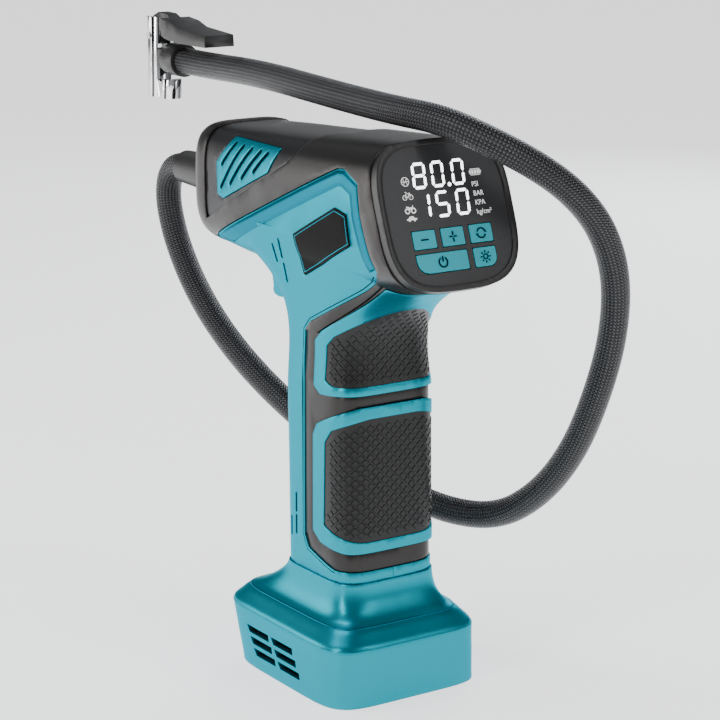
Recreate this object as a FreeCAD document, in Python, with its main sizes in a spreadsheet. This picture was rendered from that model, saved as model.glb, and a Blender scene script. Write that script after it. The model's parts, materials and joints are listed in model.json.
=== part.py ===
"""Portable tire inflator: pistol-shaped housing, crank pump, battery base and braided hose.

Millimetres, +Z up. +Y points to the front end, where the hose leaves; the user and the display
are on the -Y side. The origin is the centre of the base's flat underside.
"""
import FreeCAD, Part
import math
import os
import re
from FreeCAD import Placement, Rotation, Vector

X, Y, Z = Vector(1, 0, 0), Vector(0, 1, 0), Vector(0, 0, 1)
NODES = []

doc = FreeCAD.newDocument("TireInflator")
sheet = doc.addObject("Spreadsheet::Sheet", "Sizes")

# ---------------------------------------------------------------- driving dimensions
SIZES = {
    # shells
    "wall": 2.6, "seam_gap": 0.15, "half_seam": 0.05,
    "panel_inset": 0.5, "front_inset": 1.0, "cap_inset": 0.4, "frame_inset": 0.9,
    "pad_depth": 2.0, "badge_inset": 0.2, "badge_depth": 1.1,
    # head: runs along Y
    "head_front": 86.0, "head_rear": -86.0, "head_half_front": 22.5, "head_half_rear": 29.3,
    "head_top_front": 210.5, "head_top_rear": 219.5, "head_low": 158.8, "head_low_at": 25.0,
    "head_rise_front": 10.0, "head_rise_rear": 6.5, "head_nose_round": 9.0, "cap_seam": 71.0,
    # handle: runs along Z
    "seam_height": 44.5, "handle_top": 178.0, "handle_half": 22.0, "handle_front": 16.5,
    "handle_back": 31.3, "handle_lean": 1.4, "flare_start": 130.0, "flare_end": 168.0,
    "flare_front": 40.0, "flare_back": 45.0, "flare_side": 4.8,
    # base
    "base_half": 35.0, "base_deck": 30.0, "base_skin": 2.5,
    "cover_thick": 2.4, "cover_gap": 0.3,
    # display, on a plane tilted back from the vertical
    "display_tilt": 20.0, "display_back": 64.9, "display_height": 192.4,
    "bezel_half_x": 28.9, "bezel_half_y": 28.0, "bezel_depth": 4.0, "bezel_front": 0.6,
    "lens_half_x": 26.5, "lens_half_y": 25.9, "lens_thick": 1.8, "lens_lip": 1.2,
    "key_clearance": 0.3, "key_proud": 0.4, "key_length": 5.8, "key_row_height": 6.6,
    "key_low_height": 7.0, "key_width": 9.8, "key_power_width": 22.1,
    "mat_length": 38.0, "mat_width": 17.2, "mat_thick": 2.4, "mat_depth": 6.4,
    "led_length": 40.0, "led_width": 26.4, "led_thick": 5.0,
    "board_half_x": 22.5, "board_half_y": 21.0, "board_thick": 1.6, "board_depth": 8.9,
    # pump
    "pump_height": 179.0, "motor_at": -12.0, "motor_radius": 14.0, "motor_length": 46.0,
    "motor_top": 162.0, "shaft_radius": 1.6, "shaft_low": 99.0, "shaft_top": 173.6,
    "fan_radius": 13.0, "fan_hub": 4.0, "fan_height": 7.0, "fan_low": 102.0, "fan_blade": 1.2,
    "gear_module": 0.7, "gear_teeth": 45.0, "pinion_teeth": 12.0, "gear_low": 166.6,
    "gear_thick": 6.0, "pinion_thick": 6.6, "axle_radius": 3.0, "axle_head": 4.2,
    "axle_head_thick": 1.2, "running_fit": 0.05, "crank_radius": 7.0, "crank_pin": 2.5,
    "crank_pin_gap": 0.4, "rod_thick": 5.0, "rod_width": 6.0, "rod_eye": 6.5,
    "frame_plate": 3.0, "frame_half": 16.5, "frame_back": -28.0, "frame_front": 34.0,
    "cylinder_low": 34.0, "cylinder_length": 30.0, "cylinder_radius": 12.0, "bore_radius": 9.8,
    "piston_low": 52.0, "piston_length": 6.5, "piston_radius": 9.45, "seal_radius": 9.74,
    "seal_low": 54.2, "seal_length": 2.0, "seal_groove": 8.2, "piston_stroke": 14.0,
    "head_block_length": 10.0, "head_block_half": 13.0, "outlet_height": 184.0,
    "outlet_radius": 5.5, "outlet_length": 7.0, "air_radius": 1.8, "bolt_radius": 1.5,
    "bolt_head": 2.7, "bolt_head_thick": 2.0, "bolt_offset_x": 10.8, "bolt_offset_z": 10.2,
    "bolt_length": 40.0, "motor_bolt_offset": 8.0, "motor_bolt_length": 7.0,
    "sensor_length": 8.0, "sensor_width": 6.0, "sensor_height": 5.0,
    # trigger, lock button and their switch
    "trigger_half": 8.7, "trigger_opening": 9.2, "lock_radius": 2.2, "lock_clearance": 0.3,
    "lock_length": 5.0, "lock_back": 13.2, "lock_height": 126.0, "lock_flange": 3.2,
    "switch_length": 12.0, "switch_width": 6.0, "switch_height": 6.0,
    "spring_radius": 2.6, "spring_wire": 0.5, "spring_length": 7.5, "spring_turns": 5.0,
    # hose, its collar and its chuck
    "hose_radius": 5.5, "collar_radius": 8.6, "collar_tip": 7.0, "collar_length": 36.0,
    "collar_flange": 10.5, "collar_flange_thick": 3.0, "collar_end": 126.0, "collar_wall": 0.3,
    "fitting_length": 45.0, "fitting_radius": 3.2, "fitting_flange": 4.6,
    "ferrule_radius": 6.9, "ferrule_length": 10.0, "ferrule_at": 126.0,
    "neck_side": 8.6, "neck_length": 7.6, "chuck_at": 148.0, "hose_height": 229.0,
    "barrel_radius": 5.0, "barrel_low": 212.0, "barrel_length": 34.0, "mouth_radius": 4.1,
    "mouth_depth": 9.0, "foot_radius": 4.4, "foot_length": 8.0, "foot_at": 138.2,
    "valve_seal_radius": 4.0, "valve_seal_length": 4.0, "lever_slot": 2.9, "lever_arm": 2.6,
    "lever_half": 7.0, "pin_half": 5.4,
    "lever_pin_radius": 1.4, "lever_pin_height": 238.0,
    # base contents
    "cell_radius": 9.2, "cell_length": 65.0, "cell_pitch": 19.2, "cell_height": 12.4,
    "cell_back": -36.0, "foot_pad_radius": 5.0, "foot_pad_thick": 1.2, "foot_pad_x": 22.0,
    "foot_pad_y": 24.0, "main_board_width": 30.0, "main_board_height": 38.0,
    "main_board_low": 52.0, "main_board_at": -13.0, "port_width": 9.0, "port_height": 3.4,
    "port_depth": 7.5, "port_at": -10.0, "port_level": 13.0, "flap_width": 15.0,
    "flap_height": 10.0, "flap_thick": 1.6, "flap_face": 35.3, "flap_gap": 0.35,
    "light_radius": 3.4, "light_height": 170.6, "light_length": 6.0,
    # screws
    "screw_radius": 1.4, "screw_hole": 1.45, "screw_head": 2.8, "screw_sink": 3.1,
    "screw_head_thick": 2.0, "boss_radius": 3.4, "screw_reach": 9.0,
    "base_screw_x": 26.5, "base_screw_y": 14.0, "base_screw_length": 7.0,
}
for row, (alias, value) in enumerate(SIZES.items(), start=1):
    sheet.set(f"A{row}", alias)
    sheet.set(f"B{row}", str(value))
    sheet.setAlias(f"B{row}", alias)
doc.recompute()


def size(alias):
    """A driving dimension, read from the sheet."""
    return float(sheet.get(alias))


# ---------------------------------------------------------------- small builders
def bind(item, **texts):
    """Tie properties to the sheet. Each text is an expression in the sheet's aliases."""
    for prop, text in texts.items():
        item.setExpression(prop, re.sub(r"[a-z]\w+", lambda word: "Sizes." + word.group(), text))
    return item


def node(item, name):
    """Give a finished object the name of the sub-part it is."""
    item.Label = name
    NODES.append(item)
    return item


def feature(name, shape, at=Placement()):
    """A Part::Feature for a shape that no parametric feature makes."""
    item = doc.addObject("Part::Feature", name)
    item.Shape = shape
    item.Placement = at.multiply(shape.Placement)
    return item


def cylinder(name, radius, length, at, along=Z):
    item = bind(doc.addObject("Part::Cylinder", name), Radius=radius, Height=length)
    item.Placement = Placement(Vector(*at), Rotation(Z, along))
    return item


def cone(name, low_radius, high_radius, length, at, along=Z):
    item = doc.addObject("Part::Cone", name)
    bind(item, Radius1=low_radius, Radius2=high_radius, Height=length)
    item.Placement = Placement(Vector(*at), Rotation(Z, along))
    return item


def block(name, length, width, height, corner):
    """A box from its lowest corner; length, width and height are along X, Y and Z."""
    item = bind(doc.addObject("Part::Box", name), Length=length, Width=width, Height=height)
    item.Placement = Placement(Vector(*corner), Rotation())
    return item


def join(name, *items):
    item = doc.addObject("Part::MultiFuse", name)
    item.Shapes = list(items)
    return item


def cut(name, base, *tools):
    item = doc.addObject("Part::Cut", name)
    item.Base = base
    item.Tool = tools[0] if len(tools) == 1 else join(name + "_tools", *tools)
    return item


def group(name, *items):
    """Several separate solids as one sub-part."""
    item = doc.addObject("Part::Compound", name)
    item.Links = list(items)
    return item


def padded(name, points, length, plane="YZ_Plane"):
    """A PartDesign body: a closed outline on one of its origin planes, padded both ways."""
    body = doc.addObject("PartDesign::Body", name)
    sketch = body.newObject("Sketcher::SketchObject", name + "_outline")
    base = next(o for o in body.Origin.OriginFeatures if o.Role == plane)
    sketch.AttachmentSupport = [(base, "")]
    sketch.MapMode = "FlatFace"
    for start, end in zip(points, points[1:] + points[:1]):
        sketch.addGeometry(Part.LineSegment(Vector(*start, 0), Vector(*end, 0)))
    pad = body.newObject("PartDesign::Pad", name + "_pad")
    pad.Profile = sketch
    pad.Midplane = True
    bind(pad, Length=length)
    body.Tip = pad
    return body


# ---------------------------------------------------------------- outlines and lofts
def oval(half, low, high, low_power, high_power, start=-90, count=36):
    """Points (u, v) of a rounded box: half wide each way, v from low to high."""
    middle = (low + high) / 2
    points = []
    for step in range(count):
        angle = math.radians(start + 360 * step / count)
        across, up = math.cos(angle), math.sin(angle)
        shape = high_power if up > 0 else low_power
        reach = (abs(across) ** shape + abs(up) ** shape) ** (-1 / shape)
        points.append((half * reach * across, middle + (high - middle) * reach * up))
    return points


def closed_curve(points):
    curve = Part.BSplineCurve()
    curve.interpolate(Points=points, PeriodicFlag=True)
    return Part.Wire([curve.toShape()])


def skin(sections, stations):
    """A solid through closed sections: their poles are joined smoothly at the given stations."""
    around = [step / len(sections[0]) for step in range(len(sections[0]) + 1)]
    curves = []
    for points in sections:
        curves.append(Part.BSplineCurve())
        curves[-1].interpolate(Points=points, PeriodicFlag=True, Parameters=around)
    columns = []
    for column in zip(*[curve.getPoles() for curve in curves]):
        columns.append(Part.BSplineCurve())
        columns[-1].interpolate(Points=list(column), Parameters=stations)
    round_, along = curves[0], columns[0]
    surface = Part.BSplineSurface()
    surface.buildFromPolesMultsKnots(
        [column.getPoles() for column in columns], round_.getMultiplicities(), along.getMultiplicities(),
        round_.getKnots(), along.getKnots(), True, False, round_.Degree, along.Degree)
    side = surface.toShape()
    caps = [Part.Face(Part.Wire([edge])) for edge in side.Edges if edge.isClosed()]
    shell = Part.makeShell([side] + caps)
    shell.sewShape()
    solid = Part.makeSolid(shell)
    if solid.Volume < 0:
        solid.reverse()
    return solid


def head_section(y, inset):
    """The head's outline across Y: it widens and rises towards the display."""
    front, rear = size("head_front"), size("head_rear")
    share = (front - y) / (front - rear)
    widening = math.sin(share * math.pi / 2)
    half = size("head_half_front") + (size("head_half_rear") - size("head_half_front")) * widening
    top = size("head_top_front") + (size("head_top_rear") - size("head_top_front")) * share
    rise = size("head_rise_front") if y > size("head_low_at") else size("head_rise_rear")
    low = size("head_low") + rise * ((y - size("head_low_at")) / 100) ** 2
    return [Vector(u, y, v) for u, v in oval(half - inset, low + inset, top - inset, 3.4, 4.2)]


def head_solid(inset):
    """The head, skinned along Y with a rounded nose; a bigger inset gives a smaller solid."""
    front, nose = size("head_front") - inset, size("head_nose_round")
    sections, stations = [], [0.0]
    for turn in (90, 67.5, 45, 22.5, 0):
        y = front - nose * (1 - math.sin(math.radians(turn)))
        sections.append(head_section(y, inset + nose * (1 - math.cos(math.radians(turn)))))
    for y in (70.0, 50.0, 25.0, 0.0, -25.0, -50.0, -70.0, size("head_rear")):
        sections.append(head_section(y, inset))
    for one, other in zip(sections, sections[1:]):
        stations.append(stations[-1] + one[0].distanceToPoint(other[0]))
    return skin(sections, stations)


def handle_section(z, inset):
    """The handle's outline across Z: it flares where it runs into the head."""
    start, flared, top = size("flare_start"), size("flare_end"), size("handle_top")
    share = min(1.0, max(0.0, (z - start) / (flared - start)))
    widening = max(0.0, (z - start) / (top - start))
    lean = size("handle_lean") * min(1.0, (z - size("seam_height")) / (start - size("seam_height")))
    front = size("handle_front") + lean + size("flare_front") * share ** 3
    back = -size("handle_back") + lean - size("flare_back") * share ** 2.7
    half = size("handle_half") + size("flare_side") * widening ** 1.5
    return [Vector(u, v, z) for u, v in oval(half - inset, back + inset, front - inset, 3.0, 3.8, 90)]


def handle_solid(inset):
    """The handle, skinned along Z. Deep insets, used to hollow others out, also reach below it."""
    low = size("seam_height") - (4 if inset > size("front_inset") else 0)
    heights = [low, 70.0, 100.0, 122.0, 134.0, 143.0, 150.0, 156.0, 161.0, 165.0, 169.0, size("handle_top")]
    return skin([handle_section(z, inset) for z in heights], heights)


def display_frame(depth):
    """The display's own frame: x across, y up the glass, z out towards the user."""
    tilt = Rotation(X, 90 - size("display_tilt"))
    origin = Vector(0, -size("display_back"), size("display_height"))
    return Placement(origin + tilt.multVec(Vector(0, 0, -depth)), tilt)


def behind_display(depth):
    """A big block that takes away everything in front of a plane this deep behind the glass."""
    tool = Part.makeBox(160, 160, 80, Vector(-80, -80, 0))
    tool.Placement = display_frame(depth)
    return tool


_solids = {}


def pistol(inset):
    """Head and handle together, cut off at the display."""
    if inset not in _solids:
        whole = head_solid(inset).fuse(handle_solid(inset))
        _solids[inset] = whole.cut(behind_display(size("bezel_depth") - size("bezel_front")))
    return _solids[inset]


def grown(points, distance):
    """A closed (y, z) outline moved outwards by a distance, its corners kept sharp."""
    area = sum(a[0] * b[1] - a[1] * b[0] for a, b in zip(points, points[1:] + points[:1]))
    side = distance if area > 0 else -distance
    moved = []
    for before, (y, z), after in zip(points[-1:] + points[:-1], points, points[1:] + points[:1]):
        one = Vector(y - before[0], z - before[1], 0).normalize()
        two = Vector(after[0] - y, after[1] - z, 0).normalize()
        reach = side / (1 + one.dot(two))
        moved.append((y + reach * (one.y + two.y), z - reach * (one.x + two.x)))
    return moved


def region_face(points, grow=0.0, rounding=0.0, half=60.0):
    """A side-view outline of (y, z) points as a flat face, its corners rounded."""
    corners = [Vector(-half, y, z) for y, z in (grown(points, grow) if grow else points)]
    edges, ends = [], []
    for before, corner, after in zip(corners[-1:] + corners[:-1], corners, corners[1:] + corners[:1]):
        back, ahead = before - corner, after - corner
        half_turn = (math.pi - back.getAngle(ahead)) / 2
        trim = min(rounding * math.tan(half_turn), 0.45 * back.Length, 0.45 * ahead.Length)
        if trim < 0.02:
            ends.append((corner, None, corner))
            continue
        radius = trim / math.tan(half_turn)
        inward = (back / back.Length + ahead / ahead.Length).normalize()
        middle = corner + inward * (radius / math.cos(half_turn) - radius)
        ends.append((corner + back * (trim / back.Length), middle, corner + ahead * (trim / ahead.Length)))
    for (first, middle, last), (following, _, _) in zip(ends, ends[1:] + ends[:1]):
        if middle is not None:
            edges.append(Part.Arc(first, middle, last).toShape())
        edges.append(Part.LineSegment(last, following).toShape())
    return Part.Face(Part.Wire(edges))


def region(points, grow=0.0, rounding=0.0, half=60.0):
    """The outline carried right through the object along X."""
    return region_face(points, grow, rounding, half).extrude(Vector(2 * half, 0, 0))


def slab(low, high, half=90.0):
    """Everything between two Y values."""
    return Part.makeBox(2 * half, high - low, 300, Vector(-half, low, -10))


# Side-view outlines, as (y, z).
PANEL = [(71, 130), (71, 164.7), (-33.5, 207.2), (-38, 207.6), (-48.5, 203.6), (-50.6, 192.1),
         (-58.6, 173.2), (-55.3, 169.2), (-43.3, 162.3), (-7.2, 144.5), (-3.1, 140.4), (-2.2, 130),
         (-2.2, 59), (-5, 54), (-21.4, 49.3), (-50, 48.4), (-50, 40), (60, 40)]
FRONT = [(71, 230), (-6, 230), (-4.5, 213), (-1.5, 208.5), (4, 204), (15, 198.4), (66, 174.6),
         (71, 172.2)]
GRIP = [(10, 20), (10, 141), (-11.5, 140.6), (-53.5, 166), (-62, 160.6), (-100, 157), (-100, 20)]
RING_UPPER = [(-54.2, 164.9), (-15.2, 142.3), (-10.7, 138.1), (-9.9, 120.3), (-14.5, 117.6),
              (-24.4, 118.6), (-100, 119.4), (-100, 156.4), (-62, 160)]
PAD_UPPER = [(-54.8, 160.9), (-21.6, 141.2), (-17.6, 137), (-16.9, 123.6), (-20.4, 121.8),
             (-100, 122.8), (-100, 154.2), (-62, 157.4)]
RING_LOWER = [(-28.4, 114), (-11.9, 105.4), (-9.4, 100.9), (-9.1, 62.3), (-14.2, 58.7),
              (-26.9, 56.6), (-100, 55.8), (-100, 113.4)]
PAD_LOWER = [(-30, 109.6), (-20.6, 104.6), (-17, 99), (-16.4, 66), (-29.4, 60.8), (-100, 60),
             (-100, 109.4)]
VENT = [(50, 208), (11.5, 208.4), (18.4, 198.3), (55.4, 182.9), (60.2, 183.9), (61, 196.8)]
VENT_SLOTS = [((56.2, 196.4), (47.2, 205.8)), ((57, 187.2), (40.5, 205.6)), ((48.8, 189.8), (33.3, 205.4)),
              ((39.2, 193.2), (26, 205.4)), ((29.6, 197), (20.2, 205.4))]
BADGE = [(-1.8, 177.8), (-32.6, 192.6), (-40.6, 191.2), (-43, 180), (-6, 162.4)]
SHORT_SLOTS = [((15.8, 170.8), (13.8, 164.8)), ((10.8, 173.6), (9.6, 167)), ((8.9, 164.2), (7.9, 157.8)),
               ((7.9, 71.8), (7.9, 65)), ((3.9, 73.4), (3.9, 66.6)), ((7.9, 62.8), (7.9, 56)),
               ((3.9, 64.4), (3.9, 57.6))]
TRIGGER = [(18, 146), (38.4, 144.2), (41.2, 144.8), (42.6, 146.4), (42.4, 149), (43, 151.6),
           (44.8, 154.4), (47.4, 156.8), (47.6, 158), (23, 158), (22, 150.4), (18, 150.4)]
BOSSES = [(10.4, 56), (10.4, 92), (10.4, 113), (-36, 168), (-41, 199)]


def slot(start, end, width, half=60.0):
    """A straight slot with round ends, cut right through along X."""
    (y1, z1), (y2, z2) = start, end
    run = math.hypot(y2 - y1, z2 - z1)
    bar = Part.makeBox(2 * half, run, width, Vector(-half, 0, -width / 2))
    ends = [Part.makeCylinder(width / 2, 2 * half, Vector(-half, y, 0), X) for y in (0, run)]
    whole = bar.fuse(ends)
    whole.Placement = Placement(Vector(0, y1, z1), Rotation(X, math.degrees(math.atan2(z2 - z1, y2 - y1))))
    return whole


def largest(shape):
    return max(shape.Solids, key=lambda solid: solid.Volume)


def two_sides(shape):
    """The biggest solid on the left and the biggest on the right."""
    left = [solid for solid in shape.Solids if solid.CenterOfMass.x < 0]
    right = [solid for solid in shape.Solids if solid.CenterOfMass.x > 0]
    return [max(side, key=lambda solid: solid.Volume) for side in (left, right)]


def screw_axis_hole(y, z, radius, start, end):
    return Part.makeCylinder(radius, end - start, Vector(start, y, z), X)


# ---------------------------------------------------------------- housing shells
def make_shells():
    gap = size("seam_gap")
    hollow = pistol(size("wall"))
    skin = pistol(size("panel_inset"))
    panel_tool = region(PANEL, -gap, 1.6)
    bosses = [screw_axis_hole(y, z, size("boss_radius"), -40, 40) for y, z in BOSSES]
    posts = Part.makeCompound(bosses).common(pistol(size("wall") - 1.2))
    shell = skin.cut(hollow).fuse(posts).common(panel_tool)
    openings = [slot(start, end, 1.3) for start, end in SHORT_SLOTS]
    badge_space = region(BADGE, gap, 0.8).cut(pistol(size("wall") - 1.2))
    reach = size("trigger_opening")
    trigger_space = Part.makeBox(2 * reach, 42, 16, Vector(-reach, 8, 143.2))
    lock_space = Part.makeCylinder(size("lock_radius") + size("lock_clearance"), 20,
                                   Vector(0, size("lock_back"), size("lock_height")), Y)
    for opening in (badge_space, trigger_space, lock_space, openings[0].fuse(openings[1:])):
        shell = shell.cut(opening)
    pilot = [screw_axis_hole(y, z, size("screw_hole"), -size("screw_reach"), 40) for y, z in BOSSES]
    sink = [screw_axis_hole(y, z, size("screw_sink"), size("screw_reach"), 40) for y, z in BOSSES]
    shell = shell.cut(pilot + sink)
    split = size("half_seam")
    left = shell.common(Part.makeBox(80, 400, 400, Vector(-80 - split, -200, -50)))
    right = shell.common(Part.makeBox(80, 400, 400, Vector(split, -200, -50)))
    node(feature("HousingLeft", left), "housing_left")
    node(feature("HousingRight", right), "housing_right")

    nose = slab(size("cap_seam"), 200)
    tunnel = head_solid(size("wall"))
    front = head_solid(size("front_inset")).cut(tunnel).common(region(FRONT, -gap, 1.2))
    grille_space = region(VENT, 0.12, 1.0)
    node(feature("FrontShell", front.cut(grille_space)), "front_shell")

    slots = [slot(start, end, 1.7) for start, end in VENT_SLOTS]
    for side, start in (("left", -60), ("right", 0)):
        grille = head_solid(size("front_inset") - 0.35)
        for keep in (Part.makeBox(60, 70, 60, Vector(start, 5, 170)), region(VENT, -0.05, 1.0)):
            grille = grille.cut(tunnel).common(keep)
        node(feature("VentGrille" + side.title(), grille.cut(slots)), "vent_grille_" + side)

    front_end = size("cap_seam") - gap
    band = region_face([(-110, 140), (front_end, 140), (front_end, 235), (-110, 235)])
    for outline, rounding in ((PANEL, 1.6), (FRONT, 1.2), (GRIP, 0.0)):
        band = band.cut(region_face(outline, gap, rounding))
    band = max(band.Faces, key=lambda face: face.Area).extrude(Vector(120, 0, 0))
    node(feature("RearShell", largest(pistol(0.0).common(band).cut(hollow))), "rear_shell")

    cap = head_solid(size("cap_inset")).cut(tunnel).common(nose)
    collar_space = Part.makeCylinder(size("collar_radius") + 0.1, 60, Vector(0, 60, size("outlet_height")), Y)
    light_space = Part.makeCylinder(size("light_radius"), 60, Vector(0, 74, size("light_height")), Y)
    node(feature("FrontCap", cap.cut([collar_space, light_space])), "front_cap")


def make_badges():
    """A blank plate let into each side of the head."""
    inset, depth = size("badge_inset"), size("badge_depth")
    plate = pistol(inset).common(region(BADGE, 0.0, 0.8)).cut(pistol(inset + depth))
    for side, solid in zip(("left", "right"), two_sides(plate)):
        node(feature("Badge" + side.title(), solid), "badge_" + side)


def make_grip():
    """The black frame round the back of the handle, with two teal rings and two rubber pads."""
    gap, depth = size("seam_gap"), size("pad_depth")
    behind = pistol(depth)
    frame = handle_solid(size("frame_inset")).cut(pistol(size("wall")))
    frame = frame.common(region(GRIP, 0.0)).cut(region(PANEL, gap, 1.6))
    for ring in (RING_UPPER, RING_LOWER):
        frame = frame.cut(region(ring, 0.0, 1.6).cut(behind))
    node(feature("GripFrame", largest(frame)), "grip_frame")
    proud = handle_solid(-0.1).cut(behind)
    cushion = handle_solid(0.25).cut(behind)
    for name, ring, pad in (("upper", RING_UPPER, PAD_UPPER), ("lower", RING_LOWER, PAD_LOWER)):
        inside = region(pad, 0.0, 1.6)
        trim = proud.common(region(ring, 0.0, 1.6)).cut(inside)
        node(feature("TrimRing" + name.title(), trim), "trim_ring_" + name)
        node(feature("GripPad" + name.title(), largest(cushion.common(inside))), "grip_pad_" + name)


# ---------------------------------------------------------------- display
def plate_solid(half_x, half_y, thick, depth, low_power=3.3, high_power=3.8):
    """A rounded plate on the display's plane, its front face this deep behind the glass."""
    outline = oval(half_x, -half_y, half_y, low_power, high_power)
    face = Part.Face(closed_curve([Vector(u, v, -thick) for u, v in outline]))
    solid = face.extrude(Vector(0, 0, thick))
    solid.Placement = display_frame(depth)
    return solid


def key_rows():
    """(name, low x, low y, width alias, height alias) of each key, on the display's plane."""
    return [("minus", -17.4, -11.6, "key_width", "key_row_height"),
            ("plus", -4.9, -11.6, "key_width", "key_row_height"),
            ("mode", 7.6, -11.6, "key_width", "key_row_height"),
            ("power", -17.4, -20.6, "key_power_width", "key_low_height"),
            ("light", 7.6, -20.6, "key_width", "key_low_height")]


def make_display():
    ring = plate_solid(size("bezel_half_x"), size("bezel_half_y"), size("bezel_depth"), -size("bezel_front"))
    hole = plate_solid(size("lens_half_x"), size("lens_half_y"), 30, -10)
    node(feature("DisplayBezel", ring.cut(hole)), "display_bezel")
    lens = plate_solid(size("lens_half_x"), size("lens_half_y"), size("lens_thick"), 0.0)
    clear = size("key_clearance")
    for _, low_x, low_y, width, height in key_rows():
        opening = Part.makeBox(size(width) + 2 * clear, size(height) + 2 * clear, 20,
                               Vector(low_x - clear, low_y - clear, -10))
        opening.Placement = display_frame(0.0)
        lens = lens.cut(opening)
    node(feature("DisplayLens", lens), "display_lens")

    for name, low_x, low_y, width, height in key_rows():
        key = doc.addObject("Part::Box", "Key" + name.title())
        bind(key, Length=width, Width=height, Height="key_length")
        place = display_frame(size("key_length") - size("key_proud"))
        key.Placement = place.multiply(Placement(Vector(low_x, low_y, 0), Rotation()))
        node(key, "key_" + name)

    mat = bind(doc.addObject("Part::Box", "KeyMat"), Length="mat_length", Width="mat_width", Height="mat_thick")
    place = display_frame(size("mat_depth") + size("mat_thick"))
    mat.Placement = place.multiply(Placement(Vector(-size("mat_length") / 2, -21.6, 0), Rotation()))
    node(mat, "key_mat")
    led = bind(doc.addObject("Part::Box", "LedDisplay"), Length="led_length", Width="led_width",
               Height="led_thick")
    place = display_frame(size("lens_thick") + 0.2 + size("led_thick"))
    led.Placement = place.multiply(Placement(Vector(-size("led_length") / 2, -3.4, 0), Rotation()))
    node(led, "led_display")
    board = plate_solid(size("board_half_x"), size("board_half_y"), size("board_thick"), size("board_depth"))
    node(feature("DisplayBoard", board), "display_board")


# ---------------------------------------------------------------- motor and pump
def gear_solid(teeth, module, thick, first_angle, bore, shift=0.0):
    """A spur gear with straight-flanked teeth and a little backlash, centred on Z."""
    pitch = teeth * module / 2
    outer, root = pitch + 0.9 * module, pitch - 1.15 * module
    points = []
    for tooth in range(int(teeth)):
        middle = first_angle + 2 * math.pi * tooth / teeth
        for radius, share in ((root, -0.30), (outer, -0.105), (outer, 0.105), (root, 0.30)):
            angle = middle + share * 2 * math.pi / teeth
            points.append(Vector(radius * math.cos(angle), radius * math.sin(angle), shift))
    face = Part.Face(Part.makePolygon(points + points[:1]))
    return face.extrude(Vector(0, 0, thick)).cut(Part.makeCylinder(bore, thick, Vector(0, 0, shift)))


def gear_place():
    """Where the crank gear turns: one centre distance in front of the motor."""
    distance = size("gear_module") * (size("gear_teeth") + size("pinion_teeth")) / 2
    return size("motor_at") + distance


def make_motor():
    at, fit = size("motor_at"), size("running_fit")
    can = cylinder("MotorCanBody", "motor_radius", "motor_length", (0, at, size("motor_top") - size("motor_length")))
    bore = cylinder("MotorCanBore", "shaft_radius + running_fit", "motor_length",
                    (0, at, size("motor_top") - size("motor_length")))
    node(cut("MotorCan", can, bore), "motor_can")
    shaft = cylinder("MotorShaft", "shaft_radius", "shaft_top - shaft_low", (0, at, size("shaft_low")))
    node(shaft, "motor_shaft")
    teeth = size("pinion_teeth")
    pinion = gear_solid(teeth, size("gear_module"), size("pinion_thick"), math.pi / 2, size("shaft_radius"))
    node(feature("DrivePinion", pinion, Placement(Vector(0, at, size("gear_low") - 0.3), Rotation())),
         "drive_pinion")

    hub = Part.makeCylinder(size("fan_hub"), size("fan_height"))
    blade = Part.makeBox(size("fan_radius") - 3, size("fan_blade"), size("fan_height"), Vector(3, -0.6, 0))
    blade.rotate(Vector(), X, 28)
    blades = []
    for turn in range(7):
        copy = blade.copy()
        copy.rotate(Vector(), Z, turn * 360 / 7)
        blades.append(copy)
    rim = Part.makeCylinder(size("fan_radius"), size("fan_height"))
    fan = hub.fuse([b.common(rim) for b in blades]).cut(Part.makeCylinder(size("shaft_radius"), 40, Vector(0, 0, -10)))
    node(feature("CoolingFan", fan, Placement(Vector(0, at, size("fan_low")), Rotation())), "cooling_fan")
    return fit


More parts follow.
